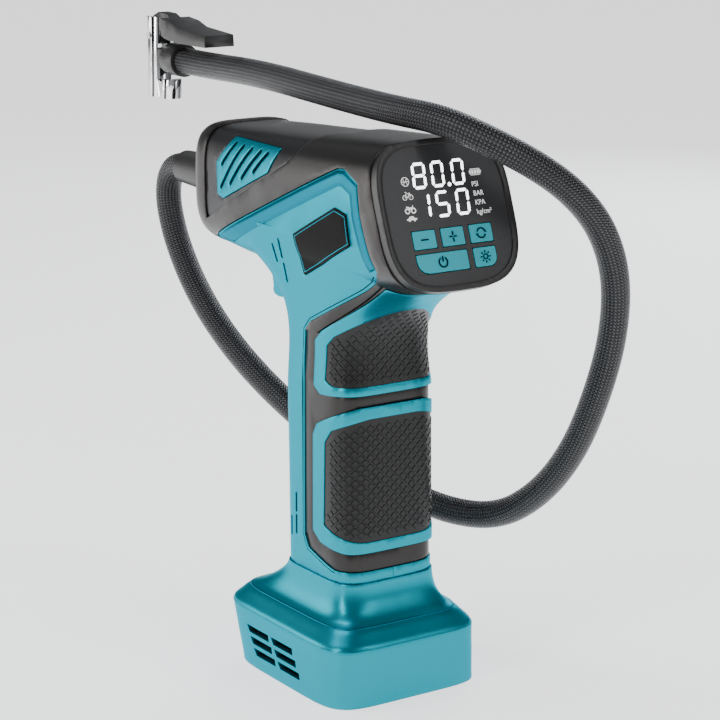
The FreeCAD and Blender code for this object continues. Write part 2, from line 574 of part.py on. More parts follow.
def make_crank():
    y = gear_place()
    teeth = size("gear_teeth")
    facing = -math.pi / 2 + math.pi / teeth
    gear = gear_solid(teeth, size("gear_module"), size("gear_thick"), facing,
                      size("axle_radius") + size("running_fit"))
    pin_top = size("pump_height") - size("rod_thick") / 2 - size("crank_pin_gap") - size("gear_low")
    pin = Part.makeCylinder(size("crank_pin"), pin_top, Vector(0, size("crank_radius"), 0))
    weight = Part.makeCylinder(4.4, size("gear_thick") + 1.6, Vector(0, -9.6, 0))
    gear = gear.fuse([pin, weight])
    node(feature("CrankGear", gear, Placement(Vector(0, y, size("gear_low")), Rotation())), "crank_gear")

    plate_top = size("motor_top") + size("frame_plate")
    stem = cylinder("CrankAxleStem", "axle_radius", "gear_low + gear_thick + 0.3 - motor_top",
                    (0, y, size("motor_top")))
    head = cylinder("CrankAxleHead", "axle_head", "axle_head_thick",
                    (0, y, size("gear_low") + size("gear_thick") + 0.3))
    node(join("CrankAxle", stem, head), "crank_axle")

    deck = block("PumpDeck", "2 * frame_half", "frame_front - frame_back - 12", "frame_plate",
                 (-size("frame_half"), size("frame_back"), size("motor_top")))
    tongue = block("PumpTongue", "1.6 * frame_half", "12", "frame_plate",
                   (-0.8 * size("frame_half"), size("frame_front") - 12, size("motor_top")))
    wall = block("PumpWall", "1.6 * frame_half", "frame_plate", "30",
                 (-0.8 * size("frame_half"), size("frame_front") - size("frame_plate"), size("motor_top")))
    boss = cylinder("AxleBoss", "axle_radius + 2.2", "1.2", (0, y, plate_top))
    rod_hole = cylinder("RodHole", "bore_radius", "20", (0, size("frame_front") - 10, size("pump_height")), Y)
    axle_hole = cylinder("AxleHole", "axle_radius", "20", (0, y, size("motor_top") - 5))
    shaft_hole = cylinder("ShaftHole", "shaft_radius + 2.4", "20", (0, size("motor_at"), size("motor_top") - 5))
    holes = [rod_hole, axle_hole, shaft_hole]
    for index, (x, z) in enumerate(bolt_places()):
        holes.append(cylinder(f"FrameBolt{index}", "bolt_radius", "20", (x, size("frame_front") - 10, z), Y))
    for index, x in enumerate((-size("motor_bolt_offset"), size("motor_bolt_offset"))):
        holes.append(cylinder(f"FrameMotorBolt{index}", "bolt_radius", "20",
                              (x, size("motor_at"), size("motor_top") - 5)))
    node(cut("PumpFrame", join("PumpFrameBody", deck, tongue, wall, boss), *holes), "pump_frame")


def bolt_places():
    dx, dz = size("bolt_offset_x"), size("bolt_offset_z")
    return [(x, size("pump_height") + z) for x in (-dx, dx) for z in (-dz, dz)]


def make_piston():
    height, y = size("pump_height"), gear_place() + size("crank_radius")
    low = height - size("rod_thick") / 2
    eye = cylinder("RodEye", "rod_eye", "rod_thick", (0, y, low))
    beam = block("RodBeam", "rod_width", "42", "rod_thick", (-size("rod_width") / 2, y, low))
    beam.setExpression("Width", f"Sizes.piston_low - {y}")
    hole = cylinder("RodHoleEye", "crank_pin + running_fit", "rod_thick", (0, y, low))
    node(cut("ConnectingRod", join("RodBody", eye, beam), hole), "connecting_rod")

    crown = cylinder("PistonCrown", "piston_radius", "piston_length", (0, size("piston_low"), height), Y)
    outer = cylinder("SealSpace", "bore_radius + 1", "seal_length", (0, size("seal_low"), height), Y)
    core = cylinder("SealCore", "seal_groove", "seal_length", (0, size("seal_low"), height), Y)
    node(cut("Piston", crown, cut("SealGroove", outer, core)), "piston")
    ring = cylinder("PistonSealRing", "seal_radius", "seal_length", (0, size("seal_low"), height), Y)
    inner = cylinder("PistonSealCore", "seal_groove", "seal_length", (0, size("seal_low"), height), Y)
    node(cut("PistonSeal", ring, inner), "piston_seal")


def make_cylinder():
    height, start = size("pump_height"), size("cylinder_low")
    tube = cylinder("CylinderTube", "cylinder_radius", "cylinder_length", (0, start, height), Y)
    foot = cylinder("CylinderFlange", "cylinder_radius + 1", "2.5", (0, start, height), Y)
    bore = cylinder("CylinderBore", "bore_radius", "cylinder_length", (0, start, height), Y)
    end = start + size("cylinder_length")
    bolts = [cylinder(f"CylinderBolt{i}", "bolt_radius", "cylinder_length", (x, start, z), Y)
             for i, (x, z) in enumerate(bolt_places())]
    node(cut("Cylinder", join("CylinderBody", tube, foot), bore, *bolts), "cylinder")

    half = size("head_block_half")
    body = block("HeadBlock", "2 * head_block_half", "head_block_length", "2 * head_block_half",
                 (-half, end, height - half))
    outlet = cylinder("HeadOutlet", "outlet_radius", "head_block_length + outlet_length",
                      (0, end, size("outlet_height")), Y)
    air = cylinder("HeadAir", "air_radius", "40", (0, end + 4, size("outlet_height")), Y)
    inlet = cylinder("HeadInlet", "air_radius", "6", (0, end, height + 4), Y)
    holes = [cylinder(f"HeadBolt{i}", "bolt_radius", "20", (x, end - 5, z), Y)
             for i, (x, z) in enumerate(bolt_places())]
    node(cut("CylinderHead", join("HeadBody", body, outlet), air, inlet, *holes), "cylinder_head")

    bolts = []
    for index, (x, z) in enumerate(bolt_places()):
        near = size("frame_front") - size("frame_plate")
        shank = cylinder(f"PumpBolt{index}", "bolt_radius", "bolt_length", (x, near, z), Y)
        head = cylinder(f"PumpBoltHead{index}", "bolt_head", "bolt_head_thick",
                        (x, near - size("bolt_head_thick"), z), Y)
        bolts.append(join(f"PumpBoltWhole{index}", shank, head))
    for index, x in enumerate((-size("motor_bolt_offset"), size("motor_bolt_offset"))):
        top = size("motor_top") + size("frame_plate")
        shank = cylinder(f"MotorBolt{index}", "bolt_radius", "frame_plate", (x, size("motor_at"), size("motor_top")))
        head = cylinder(f"MotorBoltHead{index}", "bolt_head", "1.2", (x, size("motor_at"), top))
        bolts.append(join(f"MotorBoltWhole{index}", shank, head))
    node(group("PumpScrews", *bolts), "pump_screws")

    sensor = block("SensorBody", "sensor_length", "sensor_width", "sensor_height",
                   (-size("sensor_length") / 2, end + 1, height + half))
    node(sensor, "pressure_sensor")


# ---------------------------------------------------------------- trigger and lock
def make_trigger():
    node(padded("Trigger", TRIGGER, "2 * trigger_half"), "trigger")

    rings = []
    step = size("spring_length") / size("spring_turns")
    for turn in range(int(size("spring_turns"))):
        ring = Part.makeTorus(size("spring_radius"), size("spring_wire"), Vector(), Y)
        ring.translate(Vector(0, 10.4 + size("spring_wire") + turn * step, 148.2))
        rings.append(ring)
    lean = math.radians(200)
    rod = Part.makeCylinder(0.8 * size("spring_wire"), size("spring_length") - step,
                            Vector(size("spring_radius") * math.cos(lean), 10.4 + size("spring_wire"),
                                   148.2 + size("spring_radius") * math.sin(lean)), Y)
    node(feature("TriggerSpring", rod.fuse(rings)), "trigger_spring")

    node(block("TriggerSwitch", "switch_length", "switch_width", "switch_height",
               (-size("switch_length") / 2, 4.2, 145.2)), "trigger_switch")
    place = (0, size("lock_back"), size("lock_height"))
    stem = cylinder("LockStem", "lock_radius", "lock_length", place, Y)
    flange = cylinder("LockFlange", "lock_flange", "lock_radius / 2", place, Y)
    node(join("LockButton", stem, flange), "lock_button")


# ---------------------------------------------------------------- outlet, hose and chuck
# The hose's route from the collar's tip, down past the right of the handle and up over the head.
HOSE_ROUTE = [
    (0, 126, 184), (0, 133, 184), (0, 139.8, 179.8), (0, 143, 172), (0, 141.5, 162), (0, 135, 149),
    (0, 121.5, 133.5), (1, 104, 119), (3, 81, 105), (9, 57, 91), (21, 37, 76), (34, 18, 63),
    (46, -3, 56), (55, -25, 58), (60, -45, 72), (63, -61, 92), (64, -73, 116), (65, -81, 141),
    (62, -86, 165), (53, -88, 185), (39, -88, 200), (24, -84, 211), (9, -76, 220), (0, -61, 226),
    (-4, -37, 227), (-3, -9, 227.5), (-4, 19, 229), (-3, 47, 230), (-1.5, 75, 230), (0, 101, 229),
    (0, 126, 229)]


def rounded_route(points):
    """Straight runs joined by arcs tangent to both, each arc as large as its runs allow."""
    corners = [Vector(*p) for p in points]
    edges, radii, start = [], [], corners[0]
    for before, corner, after in zip(corners, corners[1:], corners[2:]):
        back, ahead = before - corner, after - corner
        half_turn = (math.pi - back.getAngle(ahead)) / 2
        trim = 0.45 * min(back.Length, ahead.Length)
        radii.append(trim / math.tan(half_turn))
        first = corner + back * (trim / back.Length)
        last = corner + ahead * (trim / ahead.Length)
        inward = (back.normalize() + ahead.normalize()).normalize()
        middle = corner + inward * (radii[-1] / math.cos(half_turn) - radii[-1])
        edges.append(Part.LineSegment(start, first).toShape())
        edges.append(Part.Arc(first, middle, last).toShape())
        start = last
    edges.append(Part.LineSegment(start, corners[-1]).toShape())
    return Part.Wire(edges), radii


def make_hose():
    path, radii = rounded_route(HOSE_ROUTE)
    radius = size("hose_radius")
    section = Part.Wire([Part.Circle(Vector(*HOSE_ROUTE[0]), Y, radius).toShape()])
    tube = path.makePipeShell([section], True, False)
    print("hose length", round(path.Length, 1), "radii", [round(r, 1) for r in radii])
    expected = math.pi * radius ** 2 * path.Length
    if abs(tube.Volume - expected) > 0.01 * expected:
        raise ValueError(f"hose volume {tube.Volume} is not {expected}")
    node(feature("Hose", tube), "hose")


def make_outlet():
    z, end = size("outlet_height"), size("collar_end")
    flange = cylinder("CollarFlange", "collar_radius", "6", (0, end - size("collar_length") - 6, z), Y)
    boot = cone("CollarBoot", "collar_radius", "collar_tip", "collar_length", (0, end - size("collar_length"), z), Y)
    bore = cylinder("CollarBore", "fitting_radius", "60", (0, end - size("collar_length") - 10, z), Y)
    node(cut("HoseCollar", join("CollarBody", flange, boot), bore), "hose_collar")
    start = size("cylinder_low") + size("cylinder_length") + size("head_block_length") + size("outlet_length")
    stem = bind(doc.addObject("Part::Cylinder", "FittingStem"), Radius="fitting_radius")
    stem.Height = end - start
    stem.Placement = Placement(Vector(0, start, z), Rotation(Z, Y))
    bore = cylinder("FittingBore", "air_radius", "80", (0, start - 5, z), Y)
    node(cut("OutletFitting", stem, bore), "outlet_fitting")
    light = cylinder("LightLens", "light_radius", "light_length",
                     (0, size("head_front") - size("light_length"), size("light_height")), Y)
    node(light, "light_lens")


def make_chuck():
    y, z = size("ferrule_at"), size("hose_height")
    ferrule = cylinder("HoseFerrule", "ferrule_radius", "ferrule_length", (0, y, z), Y)
    node(ferrule, "hose_ferrule")
    side, near = size("neck_side"), y + size("ferrule_length")
    neck = block("ChuckNeck", "neck_side", "neck_length", "neck_side", (-side / 2, near, z - side / 2))
    node(neck, "chuck_neck")

    at, low = size("chuck_at"), size("barrel_low")
    barrel = cylinder("ChuckBarrel", "barrel_radius", "barrel_length", (0, at, low))
    foot = cylinder("ChuckFoot", "foot_radius", "foot_length", (0, size("foot_at"), low))
    web = block("ChuckWeb", "7", "9", "foot_length - 1", (-3.5, size("foot_at"), low + 0.5))
    flat = block("ChuckFlat", "20", "5", "20", (-10, near + size("neck_length") - 5, z - 10))
    mouth = cylinder("ChuckMouth", "mouth_radius", "mouth_depth + valve_seal_length", (0, at, low))
    pin_hole = cylinder("ChuckPinHole", "lever_pin_radius", "30", (-15, at, size("lever_pin_height")), X)
    clevis = block("ChuckSlot", "2 * lever_slot", "16", "20", (-size("lever_slot"), at - 8, low + 19))
    node(cut("ChuckBody", join("ChuckBodyWhole", barrel, foot, web), flat, mouth, pin_hole, clevis), "chuck_body")
    seal = cylinder("ChuckSealRing", "valve_seal_radius + 0.1", "valve_seal_length", (0, at, low + size("mouth_depth")))
    hole = cylinder("ChuckSealHole", "1.6", "valve_seal_length", (0, at, low + size("mouth_depth")))
    node(cut("ChuckSeal", seal, hole), "chuck_seal")

    pin = cylinder("LeverPin", "lever_pin_radius", "2 * pin_half", (-size("pin_half"), at, size("lever_pin_height")), X)
    node(pin, "lever_pin")
    hub = [(151.8, 235.6), (152.4, 239), (151.2, 243), (148.4, 246.4), (144, 248.2), (137, 248), (131, 245.8),
           (131, 238.8), (138, 241.6), (142, 240.4), (144.4, 236.6), (147, 234.2), (150, 234.2)]
    paddle = [(134, 246.6), (126, 245.8), (119, 243.6), (97.4, 242.2), (96.8, 237.4), (120, 237.2), (131, 238.2),
              (134, 239.4)]
    arm = join("LeverArm", padded("LeverHub", hub, "2 * lever_arm"), padded("LeverPaddle", paddle, "2 * lever_half"))
    bore = cylinder("LeverBore", "lever_pin_radius + running_fit", "30", (-15, at, size("lever_pin_height")), X)
    node(cut("ChuckLever", arm, bore), "chuck_lever")


# ---------------------------------------------------------------- base
# (height, half width, reach to the back, reach to the front): raked walls, chamfer, deck, neck.
BASE_PROFILE = [
    (0.0, 35.0, 44.5, 34.5), (12.0, 35.0, 44.5, 39.0), (20.0, 35.0, 44.5, 42.0), (22.8, 34.9, 44.4, 42.9),
    (24.0, 34.5, 44.0, 42.9), (25.2, 33.5, 43.0, 41.9), (27.0, 31.8, 41.3, 40.2), (28.8, 30.1, 39.6, 38.4),
    (29.8, 28.9, 38.3, 36.8), (30.7, 27.6, 36.9, 34.6), (32.6, 25.8, 34.9, 30.6), (35.6, 24.1, 33.0, 25.6),
    (39.5, 22.8, 31.7, 20.2), (44.5, 22.0, 31.3, 16.5)]


def base_section(row, inset, drop=0.0):
    z, half, back, front = row
    neck = max(0.0, (z - size("base_deck")) / (size("seam_height") - size("base_deck")))
    outline = oval(half - inset, inset - back, front - inset, 3.6 - 0.6 * neck, 3.6 + 0.2 * neck)
    return [Vector(u, v, z - drop) for u, v in outline]


def base_solid(inset):
    """The base, skinned along Z; the smaller solid that hollows it out also sits a little lower."""
    sections = [base_section(row, inset, 0.5 * inset if row[0] < size("seam_height") else 0)
                for row in BASE_PROFILE]
    if inset:
        sections.append(base_section((size("seam_height") + 3,) + BASE_PROFILE[-1][1:], inset))
    stations = [0.0]
    for one, other in zip(sections, sections[1:]):
        stations.append(stations[-1] + one[0].distanceToPoint(other[0]))
    return skin(sections, stations)


def make_base():
    wall, cover = size("base_skin"), size("cover_thick")
    outer = base_solid(0.0)
    shell = outer.cut(base_solid(wall))
    posts = []
    for x, y in base_screws():
        side = size("base_half") - 1
        rib = Part.makeBox(side - abs(x), 2.4, 9, Vector(x if x > 0 else -side, y - 1.2, cover))
        post = Part.makeCylinder(size("boss_radius"), 9, Vector(x, y, cover)).fuse(rib)
        posts.append(post.cut(Part.makeCylinder(size("screw_hole"), 9, Vector(x, y, cover))))
    shell = shell.fuse(posts)
    cuts = []
    for side in (-1, 1):
        for row in range(3):
            for column in range(2 if side < 0 else 1):
                y = 21.4 - 2.5 * row - 17.6 * column
                z = 16.7 - 4.3 * row
                corners = [(y, z), (y - 15.8, z), (y - 14.2 - 2.2, z - 2.7), (y - 2.2, z - 2.7)]
                face = Part.Face(Part.makePolygon([Vector(side * 28, a, b) for a, b in corners + corners[:1]]))
                cuts.append(face.extrude(Vector(side * 12, 0, 0)))
    recess = Part.makeBox(8, size("flap_width") + 2 * size("flap_gap"), size("flap_height") + 2 * size("flap_gap"),
                          Vector(size("flap_face") - size("flap_thick"), size("port_at") - size("flap_width") / 2 - size("flap_gap"),
                                 size("port_level") - size("flap_height") / 2 - size("flap_gap")))
    port = Part.makeBox(20, size("port_width"), size("port_height"),
                        Vector(24, size("port_at") - size("port_width") / 2, size("port_level") - size("port_height") / 2))
    for opening in cuts + [recess, port]:
        shell = shell.cut(opening)
    node(feature("BaseHousing", shell), "base_housing")

    edge = wall + size("cover_gap")
    rows = [BASE_PROFILE[0], (cover,) + BASE_PROFILE[0][1:3] + (BASE_PROFILE[0][3] + 0.37 * cover,)]
    plate = skin([base_section(row, edge) for row in rows], [0.0, cover])
    pads = [Part.makeCylinder(size("foot_pad_radius"), size("foot_pad_thick"), Vector(x, y, 0)) for x, y in feet()]
    screws = [Part.makeCylinder(size("screw_hole"), 10, Vector(x, y, -1)) for x, y in base_screws()]
    sinks = [Part.makeCylinder(size("screw_sink"), 1.4, Vector(x, y, -0.4)) for x, y in base_screws()]
    node(feature("BottomCover", plate.cut(pads + screws + sinks)), "bottom_cover")
    pads = [cylinder(f"FootPad{i}", "foot_pad_radius", "foot_pad_thick", (x, y, 0)) for i, (x, y) in enumerate(feet())]
    node(group("BaseFeet", *pads), "base_feet")

    cells = []
    for index, side in enumerate((-0.5, 0.5)):
        cells.append(cylinder(f"Cell{index}", "cell_radius", "cell_length",
                              (side * size("cell_pitch"), size("cell_back"), size("cell_height")), Y))
    node(group("BatteryCells", *cells), "battery_cells")
    board = block("MainBoard", "main_board_width", "board_thick", "main_board_height",
                  (-size("main_board_width") / 2, size("main_board_at"), size("main_board_low")))
    node(board, "main_board")
    shell_box = block("PortShell", "port_depth - 1", "port_width - 0.2", "port_height - 0.2",
                      (size("flap_face") - size("flap_thick") - size("port_depth") + 0.8,
                       size("port_at") - size("port_width") / 2 + 0.1,
                       size("port_level") - size("port_height") / 2 + 0.1))
    opening = block("PortOpening", "port_depth", "port_width - 1", "port_height - 1",
                    (size("flap_face") - size("flap_thick") - size("port_depth") + 1.6,
                     size("port_at") - size("port_width") / 2 + 0.5,
                     size("port_level") - size("port_height") / 2 + 0.5))
    node(cut("UsbPort", shell_box, opening), "usb_port")
    side, low = size("port_at") - size("flap_width") / 2, size("port_level") - size("flap_height") / 2
    plate = block("PortFlapPlate", "flap_thick", "flap_width", "flap_height - flap_thick / 2",
                  (size("flap_face") - size("flap_thick") + 0.1, side, low))
    knuckle = cylinder("PortFlapKnuckle", "flap_thick / 2", "flap_width",
                       (size("flap_face") - size("flap_thick") / 2 + 0.1, side,
                        low + size("flap_height") - size("flap_thick") / 2), Y)
    node(join("PortFlap", plate, knuckle), "port_cover")


def feet():
    return [(x, y - 5) for x in (-size("foot_pad_x"), size("foot_pad_x")) for y in (-size("foot_pad_y"), size("foot_pad_y"))]


def base_screws():
    return [(x, y - 5) for x in (-size("base_screw_x"), size("base_screw_x")) for y in (-size("base_screw_y"), size("base_screw_y"))]


def make_screws():
    screws = []
    for index, (y, z) in enumerate(BOSSES):
        shank = cylinder(f"Screw{index}", "screw_radius", "2 * screw_reach", (-size("screw_reach"), y, z), X)
        head = cylinder(f"ScrewHead{index}", "screw_head", "screw_head_thick", (size("screw_reach"), y, z), X)
        screws.append(join(f"ScrewWhole{index}", shank, head))
    for index, (x, y) in enumerate(base_screws()):
        shank = cylinder(f"BaseScrew{index}", "screw_radius", "base_screw_length", (x, y, 1.0))
        head = cylinder(f"BaseScrewHead{index}", "screw_head", "0.8", (x, y, 0.2))
        screws.append(join(f"BaseScrewWhole{index}", shank, head))
    node(group("CaseScrews", *screws), "case_screws")


# ---------------------------------------------------------------- build, test and write
def main():
    make_shells()
    make_badges()
    make_grip()
    make_display()
    make_motor()
    make_crank()
    make_piston()
    make_cylinder()
    make_trigger()
    make_outlet()
    make_hose()
    make_chuck()
    make_base()
    make_screws()
    doc.recompute()
    for item in doc.Objects:
        if "Invalid" in item.State or "Error" in item.State:
            raise ValueError(f"{item.Label} failed: {item.State}")
    os.makedirs("parts", exist_ok=True)
    for item in NODES:
        if item.Shape.isNull() or not item.Shape.isValid() or not item.Shape.Solids:
            raise ValueError(f"{item.Label} has no valid solid")
    for item in NODES:
        item.Shape.exportStep(f"parts/{item.Label}.step")
    print(len(NODES), "sub-parts written")


main()
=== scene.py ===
"""Looks of the portable tire inflator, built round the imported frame. Metres, +Z up, +Y front."""
import json
import math

import bmesh
import bpy
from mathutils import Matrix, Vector
from mathutils.bvhtree import BVHTree

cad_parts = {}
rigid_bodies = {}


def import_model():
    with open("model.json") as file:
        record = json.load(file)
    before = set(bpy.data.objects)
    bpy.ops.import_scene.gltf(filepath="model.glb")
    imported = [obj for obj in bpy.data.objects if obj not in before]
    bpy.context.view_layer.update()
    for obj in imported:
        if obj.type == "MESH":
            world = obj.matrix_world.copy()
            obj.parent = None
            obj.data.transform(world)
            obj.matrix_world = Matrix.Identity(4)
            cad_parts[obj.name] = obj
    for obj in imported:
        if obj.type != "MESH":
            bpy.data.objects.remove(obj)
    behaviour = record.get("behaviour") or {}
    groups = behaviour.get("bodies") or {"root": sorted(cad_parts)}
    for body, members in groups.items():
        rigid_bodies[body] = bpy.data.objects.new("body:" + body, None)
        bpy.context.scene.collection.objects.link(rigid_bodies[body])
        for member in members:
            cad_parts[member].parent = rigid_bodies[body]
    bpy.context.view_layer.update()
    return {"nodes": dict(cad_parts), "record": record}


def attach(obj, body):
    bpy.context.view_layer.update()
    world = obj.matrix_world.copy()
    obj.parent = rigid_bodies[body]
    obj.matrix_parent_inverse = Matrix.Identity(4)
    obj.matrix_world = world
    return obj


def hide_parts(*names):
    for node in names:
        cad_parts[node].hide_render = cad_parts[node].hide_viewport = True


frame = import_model()
MM = 0.001
HOUSING = "housing"

# ---------------------------------------------------------------- camera, floor and light
LOOK = Vector((0.5374, 0.8089, -0.2385))
camera_data = bpy.data.cameras.new("camera")
camera_data.lens = 119.35
camera_data.sensor_width = 36.0
camera_data.clip_end = 20.0
camera = bpy.data.objects.new("camera", camera_data)
camera.location = (-0.4960, -0.7539, 0.3465)
camera.rotation_euler = LOOK.to_track_quat("-Z", "Y").to_euler()
bpy.context.scene.collection.objects.link(camera)
bpy.context.scene.camera = camera


def link(name, mesh):
    """A new object in the scene."""
    item = bpy.data.objects.new(name, mesh)
    bpy.context.scene.collection.objects.link(item)
    return item


def from_bmesh(name, work, smooth=True):
    """A new object from a finished bmesh, shaded smooth or flat."""
    mesh = bpy.data.meshes.new(name)
    work.to_mesh(mesh)
    work.free()
    for face in mesh.polygons:
        face.use_smooth = smooth
    return link(name, mesh)


def area_light(name, place, target, power, size, tint=(1, 1, 1)):
    data = bpy.data.lights.new(name, "AREA")
    data.energy = power
    data.shape = "RECTANGLE"
    data.size, data.size_y = size
    data.color = tint
    lamp = bpy.data.objects.new(name, data)
    lamp.location = place
    lamp.rotation_euler = (Vector(target) - Vector(place)).to_track_quat("-Z", "Y").to_euler()
    bpy.context.scene.collection.objects.link(lamp)


# each light: place, the point it faces, watts, width and height, and tint
area_light("key_light", (-1.1, -0.15, 0.62), (0, 0, 0.13), 6.4, (0.22, 1.0))
area_light("side_light", (-0.75, 0.75, 0.30), (0, 0.02, 0.17), 3.5, (0.5, 0.5), (1.0, 0.98, 0.96))
area_light("top_light", (-0.12, 0.1, 1.1), (0, 0, 0.1), 5, (0.16, 1.1), (0.86, 0.93, 1.0))
area_light("user_light", (0.55, -1.1, 0.75), (0, 0, 0.14), 3, (0.16, 0.9))
area_light("back_light", (0.9, 0.7, 0.6), (0, 0, 0.12), 5, (0.4, 0.8), (0.90, 0.95, 1.0))

world = bpy.data.worlds.new("world")
world.use_nodes = True
world.node_tree.nodes["Background"].inputs["Color"].default_value = (0.95, 0.97, 1.0, 1)
world.node_tree.nodes["Background"].inputs["Strength"].default_value = 0.30
bpy.context.scene.world = world

FLOOR_REACH = 12.0
work = bmesh.new()
bmesh.ops.create_grid(work, x_segments=2, y_segments=2, size=FLOOR_REACH)
floor = from_bmesh("floor", work)


# ---------------------------------------------------------------- materials
def shader(name, color, roughness, metallic=0.0, **extra):
    """A principled material and the tools to wire detail into it."""
    material = bpy.data.materials.new(name)
    material.use_nodes = True
    bsdf = material.node_tree.nodes["Principled BSDF"]
    bsdf.inputs["Base Color"].default_value = (*color, 1)
    bsdf.inputs["Roughness"].default_value = roughness
    bsdf.inputs["Metallic"].default_value = metallic
    for socket, value in extra.items():
        bsdf.inputs[socket.replace("_", " ")].default_value = value
    return material


def add(material, kind, **values):
    """A new node; each value sets a property of that name, or else an input socket."""
    item = material.node_tree.nodes.new(kind)
    for name, value in values.items():
        if name in item.bl_rna.properties:
            setattr(item, name, value)
        else:
            item.inputs[name.replace("_", " ")].default_value = value
    return item


def wire(material, source, target):
    material.node_tree.links.new(source, target)


def grain(material, scale, strength, mottle=0.12, distance=0.00008, stretch=(1, 1, 1)):
    """Fine moulded grain in the bump, and a slow variation in colour and gloss."""
    bsdf = material.node_tree.nodes["Principled BSDF"]
    color = tuple(bsdf.inputs["Base Color"].default_value)
    roughness = bsdf.inputs["Roughness"].default_value
    where = add(material, "ShaderNodeTexCoord")
    mapping = add(material, "ShaderNodeMapping")
    mapping.inputs["Scale"].default_value = stretch
    wire(material, where.outputs["Object"], mapping.inputs["Vector"])
    fine = add(material, "ShaderNodeTexNoise", Scale=scale, Detail=3.0, Roughness=0.6)
    wire(material, mapping.outputs["Vector"], fine.inputs["Vector"])
    bump = add(material, "ShaderNodeBump", Strength=strength, Distance=distance)
    wire(material, fine.outputs["Fac"], bump.inputs["Height"])
    wire(material, bump.outputs["Normal"], bsdf.inputs["Normal"])
    slow = add(material, "ShaderNodeTexNoise", Scale=18.0, Detail=4.0, Roughness=0.55)
    wire(material, where.outputs["Object"], slow.inputs["Vector"])
    mix = add(material, "ShaderNodeMix", data_type="RGBA")
    mix.inputs["A"].default_value = tuple(c * (1 - mottle) for c in color[:3]) + (1,)
    mix.inputs["B"].default_value = tuple(min(1, c * (1 + mottle)) for c in color[:3]) + (1,)
    wire(material, slow.outputs["Fac"], mix.inputs["Factor"])
    wire(material, mix.outputs["Result"], bsdf.inputs["Base Color"])
    span = add(material, "ShaderNodeMapRange")
    span.inputs["To Min"].default_value = max(0.02, roughness - 0.05)
    span.inputs["To Max"].default_value = min(1.0, roughness + 0.05)
    wire(material, slow.outputs["Fac"], span.inputs["Value"])
    wire(material, span.outputs["Result"], bsdf.inputs["Roughness"])
    return material


EDGE_TEAL = (0.25, 0.85, 1.0, 1)
TEAL = grain(shader("teal_lacquer", (0.0004, 0.250, 0.325), 0.34, 0.88, Specular_Tint=EDGE_TEAL),
             1500, 0.10, 0.05)
# a darker copy of the teal: painted shade for the panel's cove and the base's deck edge
TEAL_PAINTED_SHADE = grain(shader("teal_cove_painted_shade", (0.0003, 0.150, 0.215), 0.38, 0.88, Specular_Tint=EDGE_TEAL),
                   1500, 0.10, 0.05)
KEY_TEAL = grain(shader("key_teal", (0.002, 0.330, 0.400), 0.38, 0.3), 1500, 0.15, 0.04)
BLACK = grain(shader("charcoal_shell", (0.030, 0.0280, 0.0270), 0.30, 0.80), 2200, 0.25, 0.10)
DEEP = grain(shader("black_hood", (0.026, 0.026, 0.0275), 0.28, 0.80), 2200, 0.15, 0.10)
RUBBER = grain(shader("grip_rubber", (0.0042, 0.0040, 0.0039), 0.36, Specular_IOR_Level=0.32),
               1800, 0.4, 0.15, 0.00012)
GLASSY = grain(shader("smoked_lens", (0.030, 0.030, 0.031), 0.26, Specular_IOR_Level=0.35),
               400, 0.02, 0.05)
STEEL = grain(shader("steel", (0.55, 0.55, 0.56), 0.28, 1.0), 900, 0.15, 0.08, stretch=(1, 1, 12))
CHROME = grain(shader("chrome", (0.80, 0.81, 0.83), 0.07, 1.0), 500, 0.03, 0.03)


def painted_reflection_bands(material, toward, stops):
    """Painted reflection: bright and dark bands painted into a polished part's base colour by the way its
    surface faces, standing in for a studio's panels and gaps that it mirrors.
    """
    bsdf = material.node_tree.nodes["Principled BSDF"]
    where = add(material, "ShaderNodeTexCoord")
    turn = add(material, "ShaderNodeVectorMath", operation="DOT_PRODUCT")
    turn.inputs[1].default_value = toward
    wire(material, where.outputs["Normal"], turn.inputs[0])
    span = add(material, "ShaderNodeMapRange")
    span.inputs["From Min"].default_value = -1.0
    wire(material, turn.outputs["Value"], span.inputs["Value"])
    ramp = add(material, "ShaderNodeValToRGB")
    while len(ramp.color_ramp.elements) < len(stops):
        ramp.color_ramp.elements.new(0.5)
    for element, (place, level) in zip(ramp.color_ramp.elements, stops):
        element.position = place
        element.color = (level, level, level * 1.02, 1)
    wire(material, span.outputs["Result"], ramp.inputs["Fac"])
    wire(material, ramp.outputs["Color"], bsdf.inputs["Base Color"])
    return material


# painted reflection on the chrome: the base colour's brightness at each facing, as ramp stops
CHROME_PAINTED_REFLECTIONS = [(0.0, 0.04), (0.07, 0.75), (0.16, 0.8), (0.2, 0.05), (0.27, 0.06), (0.32, 0.9),
                (0.55, 0.95), (0.68, 0.45), (0.8, 0.5), (0.88, 0.03), (1.0, 0.3)]
painted_reflection_bands(CHROME, (0.83, -0.55, 0.0), CHROME_PAINTED_REFLECTIONS)
CAST = grain(shader("die_cast", (0.50, 0.51, 0.53), 0.42, 0.9), 1100, 0.35, 0.10)
BRASS = grain(shader("brass", (0.62, 0.44, 0.19), 0.25, 1.0), 900, 0.1, 0.08)
NYLON = grain(shader("nylon", (0.72, 0.70, 0.63), 0.45, Subsurface_Weight=0.1), 1200, 0.15, 0.05)
SILICONE = grain(shader("silicone", (0.22, 0.22, 0.23), 0.6), 1300, 0.2, 0.06)
BOARD = grain(shader("board", (0.015, 0.14, 0.06), 0.35), 1500, 0.2, 0.25)
CELL = grain(shader("cell_sleeve", (0.05, 0.16, 0.45), 0.3), 900, 0.1, 0.06)
MATTE = grain(shader("matte_black", (0.014, 0.0135, 0.013), 0.38, 0.15), 1800, 0.25, 0.12)
LIGHT = grain(shader("light_lens", (0.85, 0.88, 0.9), 0.2, Transmission_Weight=0.4), 600, 0.2, 0.03)
INK = grain(shader("ink", (0.002, 0.0018, 0.0018), 0.5, Specular_IOR_Level=0.05), 1500, 0.1, 0.05)
